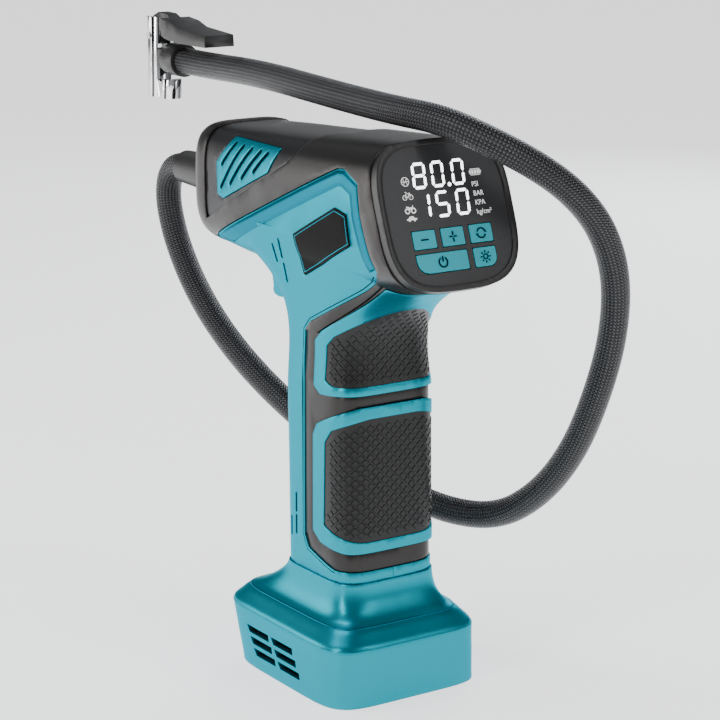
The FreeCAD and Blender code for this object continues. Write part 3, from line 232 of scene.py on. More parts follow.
GLOW = shader("glowing_segments", (0.9, 0.93, 0.95), 0.4,
              Emission_Color=(0.93, 0.97, 1.0, 1), Emission_Strength=4.0)
GREY_INK = shader("pale_print", (0.6, 0.6, 0.6), 0.4,
                  Emission_Color=(0.8, 0.8, 0.8, 1), Emission_Strength=0.7)
PALE = grain(shader("floor", (0.88, 0.89, 0.90), 0.6,
                    Emission_Color=(1, 1, 1, 1), Emission_Strength=1.3), 60, 0.02, 0.01)
floor.data.materials.append(PALE)

LOOKS = {
    TEAL: ["housing_left", "housing_right", "trim_ring_upper", "trim_ring_lower", "vent_grille_left",
           "vent_grille_right", "base_housing", "trigger"],
    KEY_TEAL: ["key_minus", "key_plus", "key_mode", "key_power", "key_light"],
    BLACK: ["rear_shell", "grip_frame", "bottom_cover", "front_cap"],
    DEEP: ["front_shell"],
    RUBBER: ["grip_pad_upper", "grip_pad_lower", "base_feet", "port_cover"],
    INK: ["badge_left", "badge_right"],
    GLASSY: ["display_lens"],
    MATTE: ["display_bezel", "trigger_switch", "pressure_sensor", "hose_collar", "hose_ferrule",
            "chuck_neck", "chuck_lever"],
    STEEL: ["motor_can", "motor_shaft", "crank_axle", "pump_screws", "lever_pin", "usb_port",
            "case_screws", "trigger_spring"],
    CAST: ["pump_frame", "piston", "cylinder", "cylinder_head"],
    BRASS: ["drive_pinion", "outlet_fitting"],
    NYLON: ["cooling_fan", "crank_gear", "connecting_rod"],
    SILICONE: ["key_mat", "lock_button"],
    BOARD: ["display_board", "main_board"],
    CELL: ["battery_cells"],
    CHROME: ["chuck_body"],
    LIGHT: ["light_lens"],
}
look_of = {name: material for material, names in LOOKS.items() for name in names}
for name, item in frame["nodes"].items():
    item.data.materials.clear()
    item.data.materials.append(look_of.get(name, MATTE))


# ---------------------------------------------------------------- pieces made from the solids
BODIES = frame["record"]["behaviour"]["bodies"]
BODY_OF = {node: body for body, nodes in BODIES.items() for node in nodes}


def stands_for(piece, node, look=None):
    """The piece takes the node's place and body, and the finish given, if any."""
    if look is not None:
        piece.data.materials.clear()
        piece.data.materials.append(look)
    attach(piece, BODY_OF[node])
    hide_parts(node)
    return piece


def softened(node, width, segments=2, angle=35):
    """A copy of a node with its hard edges rounded off and its faces shaded smooth."""
    work = bmesh.new()
    work.from_mesh(frame["nodes"][node].data)
    bmesh.ops.remove_doubles(work, verts=work.verts, dist=1e-6)
    piece = from_bmesh("soft_" + node, work, node != "display_lens")
    rounding = piece.modifiers.new("rounding", "BEVEL")
    rounding.width = width
    rounding.segments = segments
    rounding.limit_method = "ANGLE"
    rounding.angle_limit = math.radians(angle)
    rounding.use_clamp_overlap = True
    rounding.harden_normals = node != "display_lens"
    return stands_for(piece, node, look_of.get(node, MATTE))


# the width of the rounding on each node's edges, in millimetres
SOFT_EDGES = {
    "housing_left": 0.5, "housing_right": 0.5, "rear_shell": 0.45, "front_shell": 0.4, "front_cap": 0.5,
    "grip_frame": 0.35, "trim_ring_upper": 0.4, "trim_ring_lower": 0.4, "vent_grille_left": 0.25,
    "vent_grille_right": 0.25, "base_housing": 0.35, "display_bezel": 0.4, "trigger": 0.8,
    "lock_button": 0.5, "chuck_lever": 0.5, "chuck_neck": 0.7, "chuck_body": 0.6,
    "hose_ferrule": 0.6, "port_cover": 0.3,
    "badge_left": 0.12, "badge_right": 0.12, "display_lens": 0.15,
}
for name, width in SOFT_EDGES.items():
    softened(name, width * MM)

# ---------------------------------------------------------------- hose
HOSE_DIAMETER = 0.011
# the points that draw the centre line, from the collar to the ferrule, in millimetres
HOSE_ROUTE = [
    (0, 126, 184), (0, 133, 184), (0, 139.8, 179.8), (0, 143, 172), (0, 141.5, 162), (0, 135, 149),
    (0, 121.5, 133.5), (1, 104, 119), (3, 81, 105), (9, 57, 91), (21, 37, 76), (34, 18, 63),
    (46, -3, 56), (55, -25, 58), (60, -45, 72), (63, -61, 92), (64, -73, 116), (65, -81, 141),
    (62, -86, 165), (53, -88, 185), (39, -88, 200), (24, -84, 211), (9, -76, 220), (0, -61, 226),
    (-4, -37, 227), (-3, -9, 227.5), (-4, 19, 229), (-3, 47, 230), (-1.5, 75, 230), (0, 101, 229),
    (0, 126, 229)]
route = bpy.data.curves.new("hose_route", "CURVE")
route.dimensions = "3D"
route.resolution_u = 12
spline = route.splines.new("NURBS")
spline.points.add(len(HOSE_ROUTE) - 1)
for point, place in zip(spline.points, HOSE_ROUTE):
    point.co = (*(value * MM for value in place), 1)
spline.order_u = 3
spline.use_endpoint_u = True
guide = link("hose_guide", route)
bpy.context.view_layer.update()
traced = bpy.data.meshes.new_from_object(guide.evaluated_get(bpy.context.evaluated_depsgraph_get()))
HOSE_LINE = [vertex.co.copy() for vertex in traced.vertices]
bpy.data.objects.remove(guide)


def resampled(line, step):
    """Points at an even step along a line."""
    lengths = [0.0]
    for one, other in zip(line, line[1:]):
        lengths.append(lengths[-1] + (other - one).length)
    count = max(2, round(lengths[-1] / step))
    points, index = [], 0
    for number in range(count + 1):
        wanted = lengths[-1] * number / count
        while index < len(line) - 2 and lengths[index + 1] < wanted:
            index += 1
        share = (wanted - lengths[index]) / (lengths[index + 1] - lengths[index])
        points.append(line[index].lerp(line[index + 1], min(1.0, max(0.0, share))))
    return points, lengths[-1]


def swept(name, line, radius, around):
    """A tube along a line, with a map of turns across and millimetres along."""
    work = bmesh.new()
    layer = work.loops.layers.uv.new("turns")
    rings, run = [], [0.0]
    side = None
    for index, place in enumerate(line):
        ahead = line[min(index + 1, len(line) - 1)] - line[max(index - 1, 0)]
        ahead.normalize()
        if side is None:
            side = ahead.cross(Vector((1, 0, 0))).normalized()
        side = (side - ahead * side.dot(ahead)).normalized()
        other = ahead.cross(side)
        if index:
            run.append(run[-1] + (place - line[index - 1]).length)
        rings.append([work.verts.new(place + radius * (side * math.cos(turn) + other * math.sin(turn)))
                      for turn in (2 * math.pi * step / around for step in range(around))])
    for index, (low, high) in enumerate(zip(rings, rings[1:])):
        for step in range(around):
            follow = (step + 1) % around
            face = work.faces.new((low[step], low[follow], high[follow], high[step]))
            corners = ((step, index), (step + 1, index), (step + 1, index + 1), (step, index + 1))
            for loop, (across, along) in zip(face.loops, corners):
                loop[layer].uv = (across / around, run[along] / MM)
    work.faces.new(list(reversed(rings[0])))
    work.faces.new(rings[-1])
    return from_bmesh(name, work)


STRANDS_AROUND = 24.0
STRANDS_PER_MM = 0.75


def braid_material():
    """Two families of flat strands wound opposite ways, with pale flecks painted where one lies on top, a
    painted highlight on the raised crossings.
    """
    material = shader("hose_braid", (0.012, 0.012, 0.013), 0.27, 0.35)
    bsdf = material.node_tree.nodes["Principled BSDF"]
    where = add(material, "ShaderNodeUVMap", uv_map="turns")
    split = add(material, "ShaderNodeSeparateXYZ")
    wire(material, where.outputs["UV"], split.inputs["Vector"])

    def math_node(operation, one, two=None):
        item = add(material, "ShaderNodeMath", operation=operation)
        for socket, value in zip(item.inputs, (one, two)):
            if isinstance(value, (int, float)):
                socket.default_value = value
            elif value is not None:
                wire(material, value, socket)
        return item.outputs[0]

    turns = math_node("MULTIPLY", split.outputs["X"], STRANDS_AROUND)
    run = math_node("MULTIPLY", split.outputs["Y"], STRANDS_PER_MM)
    first = math_node("SINE", math_node("MULTIPLY", math_node("ADD", turns, run), math.pi))
    second = math_node("SINE", math_node("MULTIPLY", math_node("SUBTRACT", turns, run), math.pi))
    height = math_node("MULTIPLY", math_node("ABSOLUTE", first), math_node("ABSOLUTE", second))
    bump = add(material, "ShaderNodeBump", Strength=0.9, Distance=0.0004)
    wire(material, height, bump.inputs["Height"])
    wire(material, bump.outputs["Normal"], bsdf.inputs["Normal"])
    painted_crossing_highlight = math_node("GREATER_THAN", math_node("MULTIPLY", first, second), 0.35)
    # painted highlight: the raised crossings are drawn paler, as if catching the light
    mix = add(material, "ShaderNodeMix", data_type="RGBA")
    mix.inputs["A"].default_value = (0.006, 0.006, 0.007, 1)
    mix.inputs["B"].default_value = (0.062, 0.062, 0.066, 1)
    wire(material, painted_crossing_highlight, mix.inputs["Factor"])
    wire(material, mix.outputs["Result"], bsdf.inputs["Base Color"])
    return material


BRAID = braid_material()
HOSE_STEP = 0.0015
HOSE_SIDES = 40
hose_path, hose_length = resampled(HOSE_LINE, HOSE_STEP)
hose = swept("braided_hose", hose_path, HOSE_DIAMETER / 2, HOSE_SIDES)
hose.data.materials.append(BRAID)
stands_for(hose, "hose")


# ---------------------------------------------------------------- draping on the shells
def corner_moves(points, closed):
    """For each point, the direction that moves both of its edges by one unit to the left."""
    count, moves = len(points), []
    for index, (y, z) in enumerate(points):
        before = points[index - 1] if index or closed else None
        after = points[(index + 1) % count] if index < count - 1 or closed else None
        one = Vector((y - before[0], z - before[1])).normalized() if before else None
        two = Vector((after[0] - y, after[1] - z)).normalized() if after else None
        one, two = one or two, two or one
        reach = 1 / (1 + one.dot(two))
        moves.append((-reach * (one.y + two.y), reach * (one.x + two.x)))
    return moves


def moved(points, distance, closed=True):
    """A (y, z) outline moved to the left of its own direction."""
    return [(y + distance * a, z + distance * b)
            for (y, z), (a, b) in zip(points, corner_moves(points, closed))]


def fine(points, step, closed):
    """The outline with extra points along its edges, each as (edge number, share along it)."""
    marks = []
    for index in range(len(points) if closed else len(points) - 1):
        (y1, z1), (y2, z2) = points[index], points[(index + 1) % len(points)]
        count = max(1, round(math.hypot(y2 - y1, z2 - z1) / step))
        marks += [(index, number / count) for number in range(count)]
    return marks if closed else marks + [(len(points) - 2, 1.0)]


def along_edges(points, marks):
    """The marks of an outline as (y, z) points."""
    placed = []
    for index, share in marks:
        (y1, z1), (y2, z2) = points[index], points[(index + 1) % len(points)]
        placed.append((y1 + (y2 - y1) * share, z1 + (z2 - z1) * share))
    return placed


def surface_of(node):
    """A node's skin, ready for rays."""
    mesh = frame["nodes"][node].data
    return BVHTree.FromPolygons([vertex.co.copy() for vertex in mesh.vertices],
                                [tuple(face.vertices) for face in mesh.polygons])


# millimetres from the middle: well outside the shells, and about where their sides lie
OUTSIDE = 60
NEAR_SIDE = 24
# how far a face must turn to the side for a ray's hit on it to count
LEAST_FACING = 0.2


def draped(name, outer, inner, closed, rows, skin_of, look, step=1.5, under=0.3):
    """A thin strip between two outlines, laid on the left side of a node; its twin is mirrored.

    rows gives (share across, mm proud of the node) from the outer outline to the inner one."""
    tree = surface_of(skin_of)
    marks = fine(outer, step, closed)
    lines = []
    for share, proud in rows:
        mixed = [(y1 + (y2 - y1) * share, z1 + (z2 - z1) * share)
                 for (y1, z1), (y2, z2) in zip(outer, inner)]
        line = []
        for y, z in along_edges(mixed, marks):
            start = Vector((-OUTSIDE * MM, y * MM, z * MM))
            hit, normal, _, _ = tree.ray_cast(start, Vector((1, 0, 0)))
            if hit is None or normal.x > -LEAST_FACING:
                hit, normal, _, _ = tree.find_nearest(Vector((-NEAR_SIDE * MM, y * MM, z * MM)))
            if normal.x > 0:
                normal = -normal
            line.append((hit, normal, proud))
        lines.append(line)
    for side in (-1, 1):
        work = bmesh.new()
        flip = Vector((-side, 1, 1))
        tops = [[work.verts.new((hit + normal * proud * MM) * flip) for hit, normal, proud in line]
                for line in lines]
        bottoms = [[work.verts.new((hit - normal * under * MM) * flip) for hit, normal, _ in line]
                   for line in (lines[0], lines[-1])]
        strips = [bottoms[0]] + tops + [bottoms[1]]
        count = len(marks)
        for one, two in zip(strips, strips[1:] + strips[:1]):
            for index in range(count if closed else count - 1):
                follow = (index + 1) % count
                work.faces.new((one[index], one[follow], two[follow], two[index]))
        if not closed:
            work.faces.new([strip[0] for strip in strips])
            work.faces.new([strip[-1] for strip in reversed(strips)])
        bmesh.ops.recalc_face_normals(work, faces=work.faces)
        piece = from_bmesh(name + ("_left" if side < 0 else "_right"), work)
        piece.data.materials.append(look)
        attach(piece, HOUSING)


# outlines on the left side as (y, z) in millimetres
PANEL_EDGE = [(70.2, 164.2), (-33.4, 206.3), (-37.8, 206.7), (-47.6, 203.0), (-49.8, 192.4),
              (-57.6, 173.6)]
COVE_WIDTH = 5.6
# the cove strip is coloured with the darker teal, painted shade in its hollow
draped("panel_cove", PANEL_EDGE, moved(PANEL_EDGE, COVE_WIDTH, False), False,
       [(0.0, 0.34), (0.3, 0.18), (0.65, 0.07), (1.0, 0.04)], "housing_left", TEAL_PAINTED_SHADE)
GRIP_LINE = [(-21.6, 47.9), (-3.9, 52.9), (-0.9, 58.7), (-0.9, 130.3), (-1.9, 141.0), (-6.5, 145.7),
             (-42.6, 163.5), (-53.6, 170.2)]
draped("panel_line", GRIP_LINE, moved(GRIP_LINE, 0.35, False), False, [(0.0, 0.03), (1.0, 0.03)],
       "housing_left", INK, 2.0, 0.2)
BADGE = [(-1.8, 177.8), (-32.6, 192.6), (-40.6, 191.2), (-43, 180), (-6, 162.4)]
draped("badge_line", moved(BADGE, 0.9), moved(BADGE, 1.2), True, [(0.0, 0.05), (1.0, 0.05)],
       "badge_left", TEAL, 2.0, 0.2)

# the two ends of each slot in the left grille, as (y, z) in millimetres
VENT_SLOTS = [((56.2, 196.4), (47.2, 205.8)), ((57, 187.2), (40.5, 205.6)),
              ((48.8, 189.8), (33.3, 205.4)), ((39.2, 193.2), (26, 205.4)), ((29.6, 197), (20.2, 205.4))]
HEAD_FRONT = 86
HEAD_LENGTH = 172
BELLY = 25


def head_x(y, z, inset):
    """Half the head's width at a place on its side, this far inside its surface."""
    share = (HEAD_FRONT - y) / HEAD_LENGTH
    half = 22.5 + 6.8 * math.sin(share * math.pi / 2) - inset
    top = 210.5 + 9 * share - inset
    low = 158.8 + (10 if y > BELLY else 6.5) * ((y - BELLY) / 100) ** 2 + inset
    middle = (top + low) / 2
    power = 4.2 if z > middle else 3.4
    rise = min(0.995, abs(z - middle) / (top - middle))
    return half * (1 - rise ** power) ** (1 / power)


BOX_FACES = ((0, 1, 2, 3), (4, 5, 6, 7), (0, 1, 5, 4), (1, 2, 6, 5), (2, 3, 7, 6), (3, 0, 4, 7))


def shade_plates(name, corners_of, look):
    """Near-black plates behind the vents, painted shade standing in for the dark inside the slots; one box
    of eight corners each.
    """
    work = bmesh.new()
    for corners in corners_of:
        made = [work.verts.new(Vector(corner) * MM) for corner in corners]
        for a, b, c, d in BOX_FACES:
            work.faces.new((made[a], made[b], made[c], made[d]))
    bmesh.ops.recalc_face_normals(work, faces=work.faces)
    piece = from_bmesh(name, work, False)
    piece.data.materials.append(look)
    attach(piece, HOUSING)


# half the width of a painted-shade plate, how far it runs past the slot, its pieces along the slot, how
# much they overlap, and the depths of its two faces under the head's surface
PLATE_HALF, PLATE_PAST, PLATE_PIECES, PLATE_LAP, PLATE_DEPTHS = 1.7, 1.6, 4, 0.02, (2.75, 3.1)
plates = []
for side in (-1, 1):
    for (y1, z1), (y2, z2) in VENT_SLOTS:
        ahead = Vector((y2 - y1, z2 - z1)).normalized()
        across = Vector((-ahead.y, ahead.x)) * PLATE_HALF
        ends = [Vector((y1, z1)) - ahead * PLATE_PAST, Vector((y2, z2)) + ahead * PLATE_PAST]
        for number in range(PLATE_PIECES):
            low = ends[0].lerp(ends[1], number / PLATE_PIECES)
            high = ends[0].lerp(ends[1], (number + 1 + PLATE_LAP) / PLATE_PIECES)
            outline = [low - across, high - across, high + across, low + across]
            plates.append([(side * head_x(y, z, inset), y, z) for inset in PLATE_DEPTHS
                           for y, z in outline])
shade_plates("vent_painted_shade_plates", plates, INK)
# the base's painted-shade plates, from this y on each side; the right one stops short of the charging port
plates = []
for side, last in ((-1, -14.5), (1, 3.5)):
    outline = [(last, 3.4), (24, 3.4), (24, 18.2), (last, 18.2)]
    plates.append([(side * x, y, z) for x in (31.5, 31.1) for y, z in outline])
shade_plates("base_vent_painted_shade_plates", plates, INK)

BASE_ROUNDNESS = 3.6
EDGE_STEPS = 160


def base_edge(name, rows, look):
    """A fine moulded edge all round the base. Each row is (height, half width, back, front, mm proud)."""
    work = bmesh.new()
    rings = []
    for z, half, back, front, proud in rows:
        middle, depth = (front - back) / 2, (front + back) / 2 + proud
        ring = []
        for step in range(EDGE_STEPS):
            turn = 2 * math.pi * step / EDGE_STEPS
            across, along = math.cos(turn), math.sin(turn)
            reach = (abs(across) ** BASE_ROUNDNESS + abs(along) ** BASE_ROUNDNESS) ** (-1 / BASE_ROUNDNESS)
            place = Vector(((half + proud) * reach * across, middle + depth * reach * along, z))
            ring.append(work.verts.new(place * MM))
        rings.append(ring)
    for one, two in zip(rings, rings[1:] + rings[:1]):
        for step in range(EDGE_STEPS):
            follow = (step + 1) % EDGE_STEPS
            work.faces.new((one[step], one[follow], two[follow], two[step]))
    bmesh.ops.recalc_face_normals(work, faces=work.faces)
    piece = from_bmesh(name, work)
    piece.data.materials.append(look)
    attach(piece, HOUSING)


base_edge("base_wall_edge", [(22.4, 34.93, 44.43, 42.8, -0.5), (22.5, 34.93, 44.43, 42.8, 0.16),
                             (23.1, 34.85, 44.35, 42.9, 0.16), (23.3, 34.8, 44.3, 42.9, -0.5)], TEAL)
# the deck edge is coloured with the darker teal, a painted shade line along its crease
base_edge("base_deck_edge", [(29.4, 29.5, 38.9, 37.6, -0.5), (29.5, 29.4, 38.8, 37.45, 0.14),
                             (29.9, 28.8, 38.2, 36.6, 0.14), (30.0, 28.7, 38.1, 36.4, -0.5)], TEAL_PAINTED_SHADE)

# ---------------------------------------------------------------- embossed grip pads
HANDLE_MIDDLE = -7.0
STUD_PITCH = 3.8
# half a stud's width at its foot and at its top, and where those lie under and over the pad, in metres
STUD_FOOT, STUD_TOP = 0.00165, 0.00125
STUD_UNDER, STUD_OVER = 0.0001, 0.00026
# the pad has to be even this far out from a stud's middle, to this much
STUD_ROOM, STUD_EVEN = 0.002, 0.0006
PAD_TURN = 2.6
PAD_TURN_STEP = 0.012


def pad_hit(tree, angle, z):
    """Where a ray from outside meets the pad's outer face, as (place, normal), or None."""
    middle = Vector((0, HANDLE_MIDDLE, z)) * MM
    out = Vector((math.sin(angle), -math.cos(angle), 0))
    hit, normal, _, _ = tree.ray_cast(middle + out * 80 * MM, -out)
    if hit is None or normal.dot(out) < 0.25 or (hit - middle).dot(out) < 0.008:
        return None
    return hit, normal


def even_round(tree, hit, normal, side, up):
    """Whether the pad goes on level on all four sides of a stud."""
    for shift in (side * STUD_ROOM, -side * STUD_ROOM, up * STUD_ROOM, -up * STUD_ROOM):
        near = tree.ray_cast(hit + shift + normal * 0.003, -normal)[0]
        if near is None or (near - (hit + shift)).length >= STUD_EVEN:
            return False
    return True


def add_stud(work, hit, normal, side, up):
    """One raised diamond."""
    directions = (side, up, -side, -up)
    foot = [work.verts.new(hit + way * STUD_FOOT - normal * STUD_UNDER) for way in directions]
    top = [work.verts.new(hit + way * STUD_TOP + normal * STUD_OVER) for way in directions]
    work.faces.new(top)
    work.faces.new(list(reversed(foot)))
    for index in range(4):
        follow = (index + 1) % 4
        work.faces.new((foot[index], foot[follow], top[follow], top[index]))


def pad_studs(node, low, high):
    """The pad with small raised diamonds, set in staggered rows all round its outer face."""
    tree = surface_of(node)
    work = bmesh.new()
    work.from_mesh(frame["nodes"][node].data)
    bmesh.ops.remove_doubles(work, verts=work.verts, dist=1e-6)
    rows = int((high - low) / (STUD_PITCH / 2))
    for row in range(rows + 1):
        z = low + row * STUD_PITCH / 2
        stagger = (row % 2) * STUD_PITCH / 2
        for turn in (-1, 1):
            angle, last, run = 0.0, None, 0.0
            wanted = stagger if turn > 0 else STUD_PITCH - stagger
            while angle < PAD_TURN:
                found = pad_hit(tree, turn * angle, z)
                angle += PAD_TURN_STEP
                if found is None:
                    continue
                hit, normal = found
                if last is not None:
                    run += (hit - last).length / MM
                last = hit
                if run < wanted:
                    continue
                wanted += STUD_PITCH
                side = normal.cross(Vector((0, 0, 1))).normalized()
                up = side.cross(normal).normalized()
                if even_round(tree, hit, normal, side, up):
                    add_stud(work, hit, normal, side, up)
    bmesh.ops.recalc_face_normals(work, faces=work.faces)
    piece = from_bmesh("embossed_" + node, work, False)
    stands_for(piece, node, RUBBER)


pad_studs("grip_pad_upper", 124.0, 160.0)
pad_studs("grip_pad_lower", 62.0, 113.0)

# ---------------------------------------------------------------- display
GLASS = Vector((0, -64.9, 192.4))
LEAN_BACK = math.radians(20)
GLASS_UP = Vector((0, math.sin(LEAN_BACK), math.cos(LEAN_BACK)))
GLASS_OUT = Vector((0, -math.cos(LEAN_BACK), math.sin(LEAN_BACK)))


def on_glass(x, v, n):
    """A place by millimetres across the glass, up it and out of it."""
    return (GLASS + Vector((1, 0, 0)) * x + GLASS_UP * v + GLASS_OUT * n) * MM


def add_plate(work, outline, low, high):
    """A flat (x, v) outline, given anticlockwise, as a plate between two heights over the glass."""
    rings = [[work.verts.new(on_glass(x, v, n)) for x, v in outline] for n in (low, high)]
    work.faces.new(rings[1])
    work.faces.new(list(reversed(rings[0])))
    made = []
    for index in range(len(outline)):
        follow = (index + 1) % len(outline)
        made.append(work.faces.new((rings[0][index], rings[0][follow], rings[1][follow], rings[1][index])))
    return made


def bar(start, end, width):
    """A straight stroke as an outline."""
    (x1, v1), (x2, v2) = start, end
    run = math.hypot(x2 - x1, v2 - v1)
    a, b = -(v2 - v1) / run * width / 2, (x2 - x1) / run * width / 2
    return [(x1 - a, v1 - b), (x2 - a, v2 - b), (x2 + a, v2 + b), (x1 + a, v1 + b)]


def arc(middle, radius, width, start=0, end=360, count=20):
    """A round stroke as short outlines."""
    outlines = []
    for step in range(count):
        low = math.radians(start + (end - start) * step / count)
        high = math.radians(start + (end - start) * (step + 1) / count)
        corners = [(radius - width / 2, low), (radius + width / 2, low), (radius + width / 2, high),
                   (radius - width / 2, high)]
        outlines.append([(middle[0] + r * math.cos(t), middle[1] + r * math.sin(t)) for r, t in corners])
    return outlines


def disc(middle, radius, count=14):
    """A filled round spot as an outline."""
    return [(middle[0] + radius * math.cos(2 * math.pi * step / count),
             middle[1] + radius * math.sin(2 * math.pi * step / count)) for step in range(count)]


SEGMENTS = {"0": "abcdef", "1": "bc", "5": "acdfg", "8": "abcdefg"}


def digit(sign, left, low, width, height, thick=1.05, gap=0.22, lean=0.07):
    """One digit from its lit segments, each a bar with pointed ends."""
    middle = low + height / 2
    right, top = left + width, low + height
    ends = {"a": ((left, top), (right, top)), "b": ((right, middle), (right, top)),
            "c": ((right, low), (right, middle)), "d": ((left, low), (right, low)),
            "e": ((left, low), (left, middle)), "f": ((left, middle), (left, top)),
            "g": ((left, middle), (right, middle))}
    outlines = []
    for segment in SEGMENTS[sign]:
        (x1, v1), (x2, v2) = ends[segment]
        run = math.hypot(x2 - x1, v2 - v1)
        ux, uv = (x2 - x1) / run, (v2 - v1) / run
        half = thick / 2
        shape = [(gap, 0), (gap + half, -half), (run - gap - half, -half), (run - gap, 0),
                 (run - gap - half, half), (gap + half, half)]
        outline = [(x1 + along * ux - across * uv, v1 + along * uv + across * ux)
                   for along, across in shape]
        outlines.append([(x + (v - low) * lean, v) for x, v in outline])
    return outlines


PRINT_LOW, PRINT_HIGH = 0.01, 0.07


def glass_print(name, outlines, look):
    """Outlines printed on the glass, as thin plates."""
    work = bmesh.new()
    for outline in outlines:
        add_plate(work, outline, PRINT_LOW, PRINT_HIGH)
    piece = from_bmesh(name, work, False)
    piece.data.materials.append(look)
    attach(piece, HOUSING)


# each digit: sign, left, low and width
DIGIT_HEIGHT = 8.6
lit = []
for sign, left, low, width in (("8", -12.3, 10.6, 4.9), ("0", -4.0, 10.6, 4.6), ("0", 5.0, 10.6, 4.6)):
    lit += digit(sign, left, low, width, DIGIT_HEIGHT)
lit += [disc((3.0, 10.7), 0.75)]
for sign, left, low, width in (("1", -12.4, -0.4, 4.6), ("5", -4.2, -0.4, 4.8), ("0", 4.6, -0.4, 4.8)):
    lit += digit(sign, left, low, width, DIGIT_HEIGHT)
glass_print("lit_digits", lit, GLOW)

# a battery, a ball, a bicycle, a motorcycle and a car
signs = [bar((12.6, 14.2), (13.2, 14.2), 1.2)]
signs += [bar((x, 14.2), (x + 0.9, 14.2), 1.5) for x in (13.6, 14.8, 16.0)]
signs += [bar((13.2, 15.3), (17.2, 15.3), 0.22), bar((13.2, 13.1), (17.2, 13.1), 0.22),
          bar((13.2, 13.0), (13.2, 15.4), 0.22), bar((17.2, 13.0), (17.2, 15.4), 0.22),
          bar((17.6, 13.7), (17.6, 14.7), 0.4)]
signs += arc((-16.0, 13.3), 1.6, 0.25) + arc((-17.9, 13.3), 1.5, 0.2, -55, 55, 8)
signs += arc((-14.1, 13.3), 1.5, 0.2, 125, 235, 8)
signs += [bar((-17.6, 13.3), (-14.4, 13.3), 0.2)]
for low, reach in ((7.6, 0.2), (2.7, 0.45)):
    signs += arc((-17.3, low), 0.9, reach, count=12) + arc((-14.7, low), 0.9, reach, count=12)
signs += [bar((-17.3, 7.6), (-16.6, 9.0), 0.2), bar((-16.6, 9.0), (-15.1, 9.0), 0.2),
          bar((-15.1, 9.3), (-14.7, 7.6), 0.2), bar((-16.1, 7.6), (-15.2, 9.0), 0.2),
          bar((-17.3, 7.6), (-16.1, 7.6), 0.2), bar((-17.0, 9.5), (-16.3, 9.5), 0.25)]
signs += [bar((-17.2, 3.4), (-14.9, 3.6), 0.8), bar((-15.1, 3.0), (-14.7, 4.6), 0.3),
          bar((-17.6, 4.2), (-16.4, 4.0), 0.35)]
signs += [[(-18.1, -0.7), (-13.9, -0.7), (-13.8, -0.2), (-14.8, 0.0), (-15.4, 0.7), (-16.8, 0.7),
           (-17.4, 0.0), (-18.2, -0.2)], disc((-17.1, -0.8), 0.4), disc((-14.9, -0.8), 0.4)]
glass_print("lit_signs", signs, GREY_INK)

LABEL_SIZE, LABEL_THICK, LABEL_LEFT, LABEL_NARROWING, LABEL_PROUD = 2.7, 0.03, 12.6, 0.92, 0.05
labels = []
for text, v in (("PSI", 8.9), ("BAR", 5.5), ("KPA", 2.1), ("kg/cm²", -1.3)):
    curve = bpy.data.curves.new("label", "FONT")
    curve.body = text
    curve.size = LABEL_SIZE
    curve.extrude = LABEL_THICK
    label = link("label", curve)
    bpy.context.view_layer.update()
    mesh = bpy.data.meshes.new_from_object(label.evaluated_get(bpy.context.evaluated_depsgraph_get()))
    bpy.data.objects.remove(label)
    for vertex in mesh.vertices:
        x, up, out = vertex.co
        vertex.co = on_glass(LABEL_LEFT + x * LABEL_NARROWING, v + up, LABEL_PROUD + out)
    labels.append(mesh)
work = bmesh.new()
for mesh in labels:
    work.from_mesh(mesh)
unit_labels = from_bmesh("unit_labels", work, False)
unit_labels.data.materials.clear()
unit_labels.data.materials.append(GREY_INK)
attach(unit_labels, HOUSING)


def key_outline(left, low, width, height, cuts):
    """A key's face; each corner, anticlockwise from the lower left, is rounded by (radius, points)."""
    corners = [(left, low), (left + width, low), (left + width, low + height), (left, low + height)]
    outline = []
    for index, (radius, count) in enumerate(cuts):
        x, v = corners[index]
        inward = (1 if index in (0, 3) else -1, 1 if index in (0, 1) else -1)
        middle = (x + inward[0] * radius, v + inward[1] * radius)
        start = 180 + 90 * index
        for step in range(count + 1):
            turn = math.radians(start + 90 * step / count)
            outline.append((middle[0] + radius * math.cos(turn), middle[1] + radius * math.sin(turn)))
    return outline


SMALL = (0.5, 3)
# each key: left, low, width and height on the glass, and its corners
KEYS = {
    "key_minus": ((-17.4, -11.6, 9.8, 6.6), [SMALL] * 4),
    "key_plus": ((-4.9, -11.6, 9.8, 6.6), [SMALL] * 4),
    "key_mode": ((7.6, -11.6, 9.8, 6.6), [SMALL] * 4),
    "key_power": ((-17.4, -20.6, 22.1, 7.0), [(4.6, 3), SMALL, SMALL, SMALL]),
    "key_light": ((7.6, -20.6, 9.8, 7.0), [SMALL, (3.4, 6), SMALL, SMALL]),
}

# the lens's opening is square where two of the keys' corners are round, so small pieces fill it
corners = []
LENS_CORNERS = (((-17.65, -20.85), (-12.8, -16.0), 4.9, 180), ((17.65, -20.85), (14.0, -17.2), 3.7, 270))
for corner, middle, radius, start in LENS_CORNERS:
    turns = [math.radians(start + 90 * step / 6) for step in range(7)]
    curve = [(middle[0] + radius * math.cos(turn), middle[1] + radius * math.sin(turn)) for turn in turns]
    corners.append([corner] + curve[::-1])
work = bmesh.new()
for outline in corners:
    add_plate(work, outline, -1.7, 0.0)
bmesh.ops.recalc_face_normals(work, faces=work.faces)
lens_corners = from_bmesh("lens_corners", work, False)
lens_corners.data.materials.append(GLASSY)
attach(lens_corners, HOUSING)

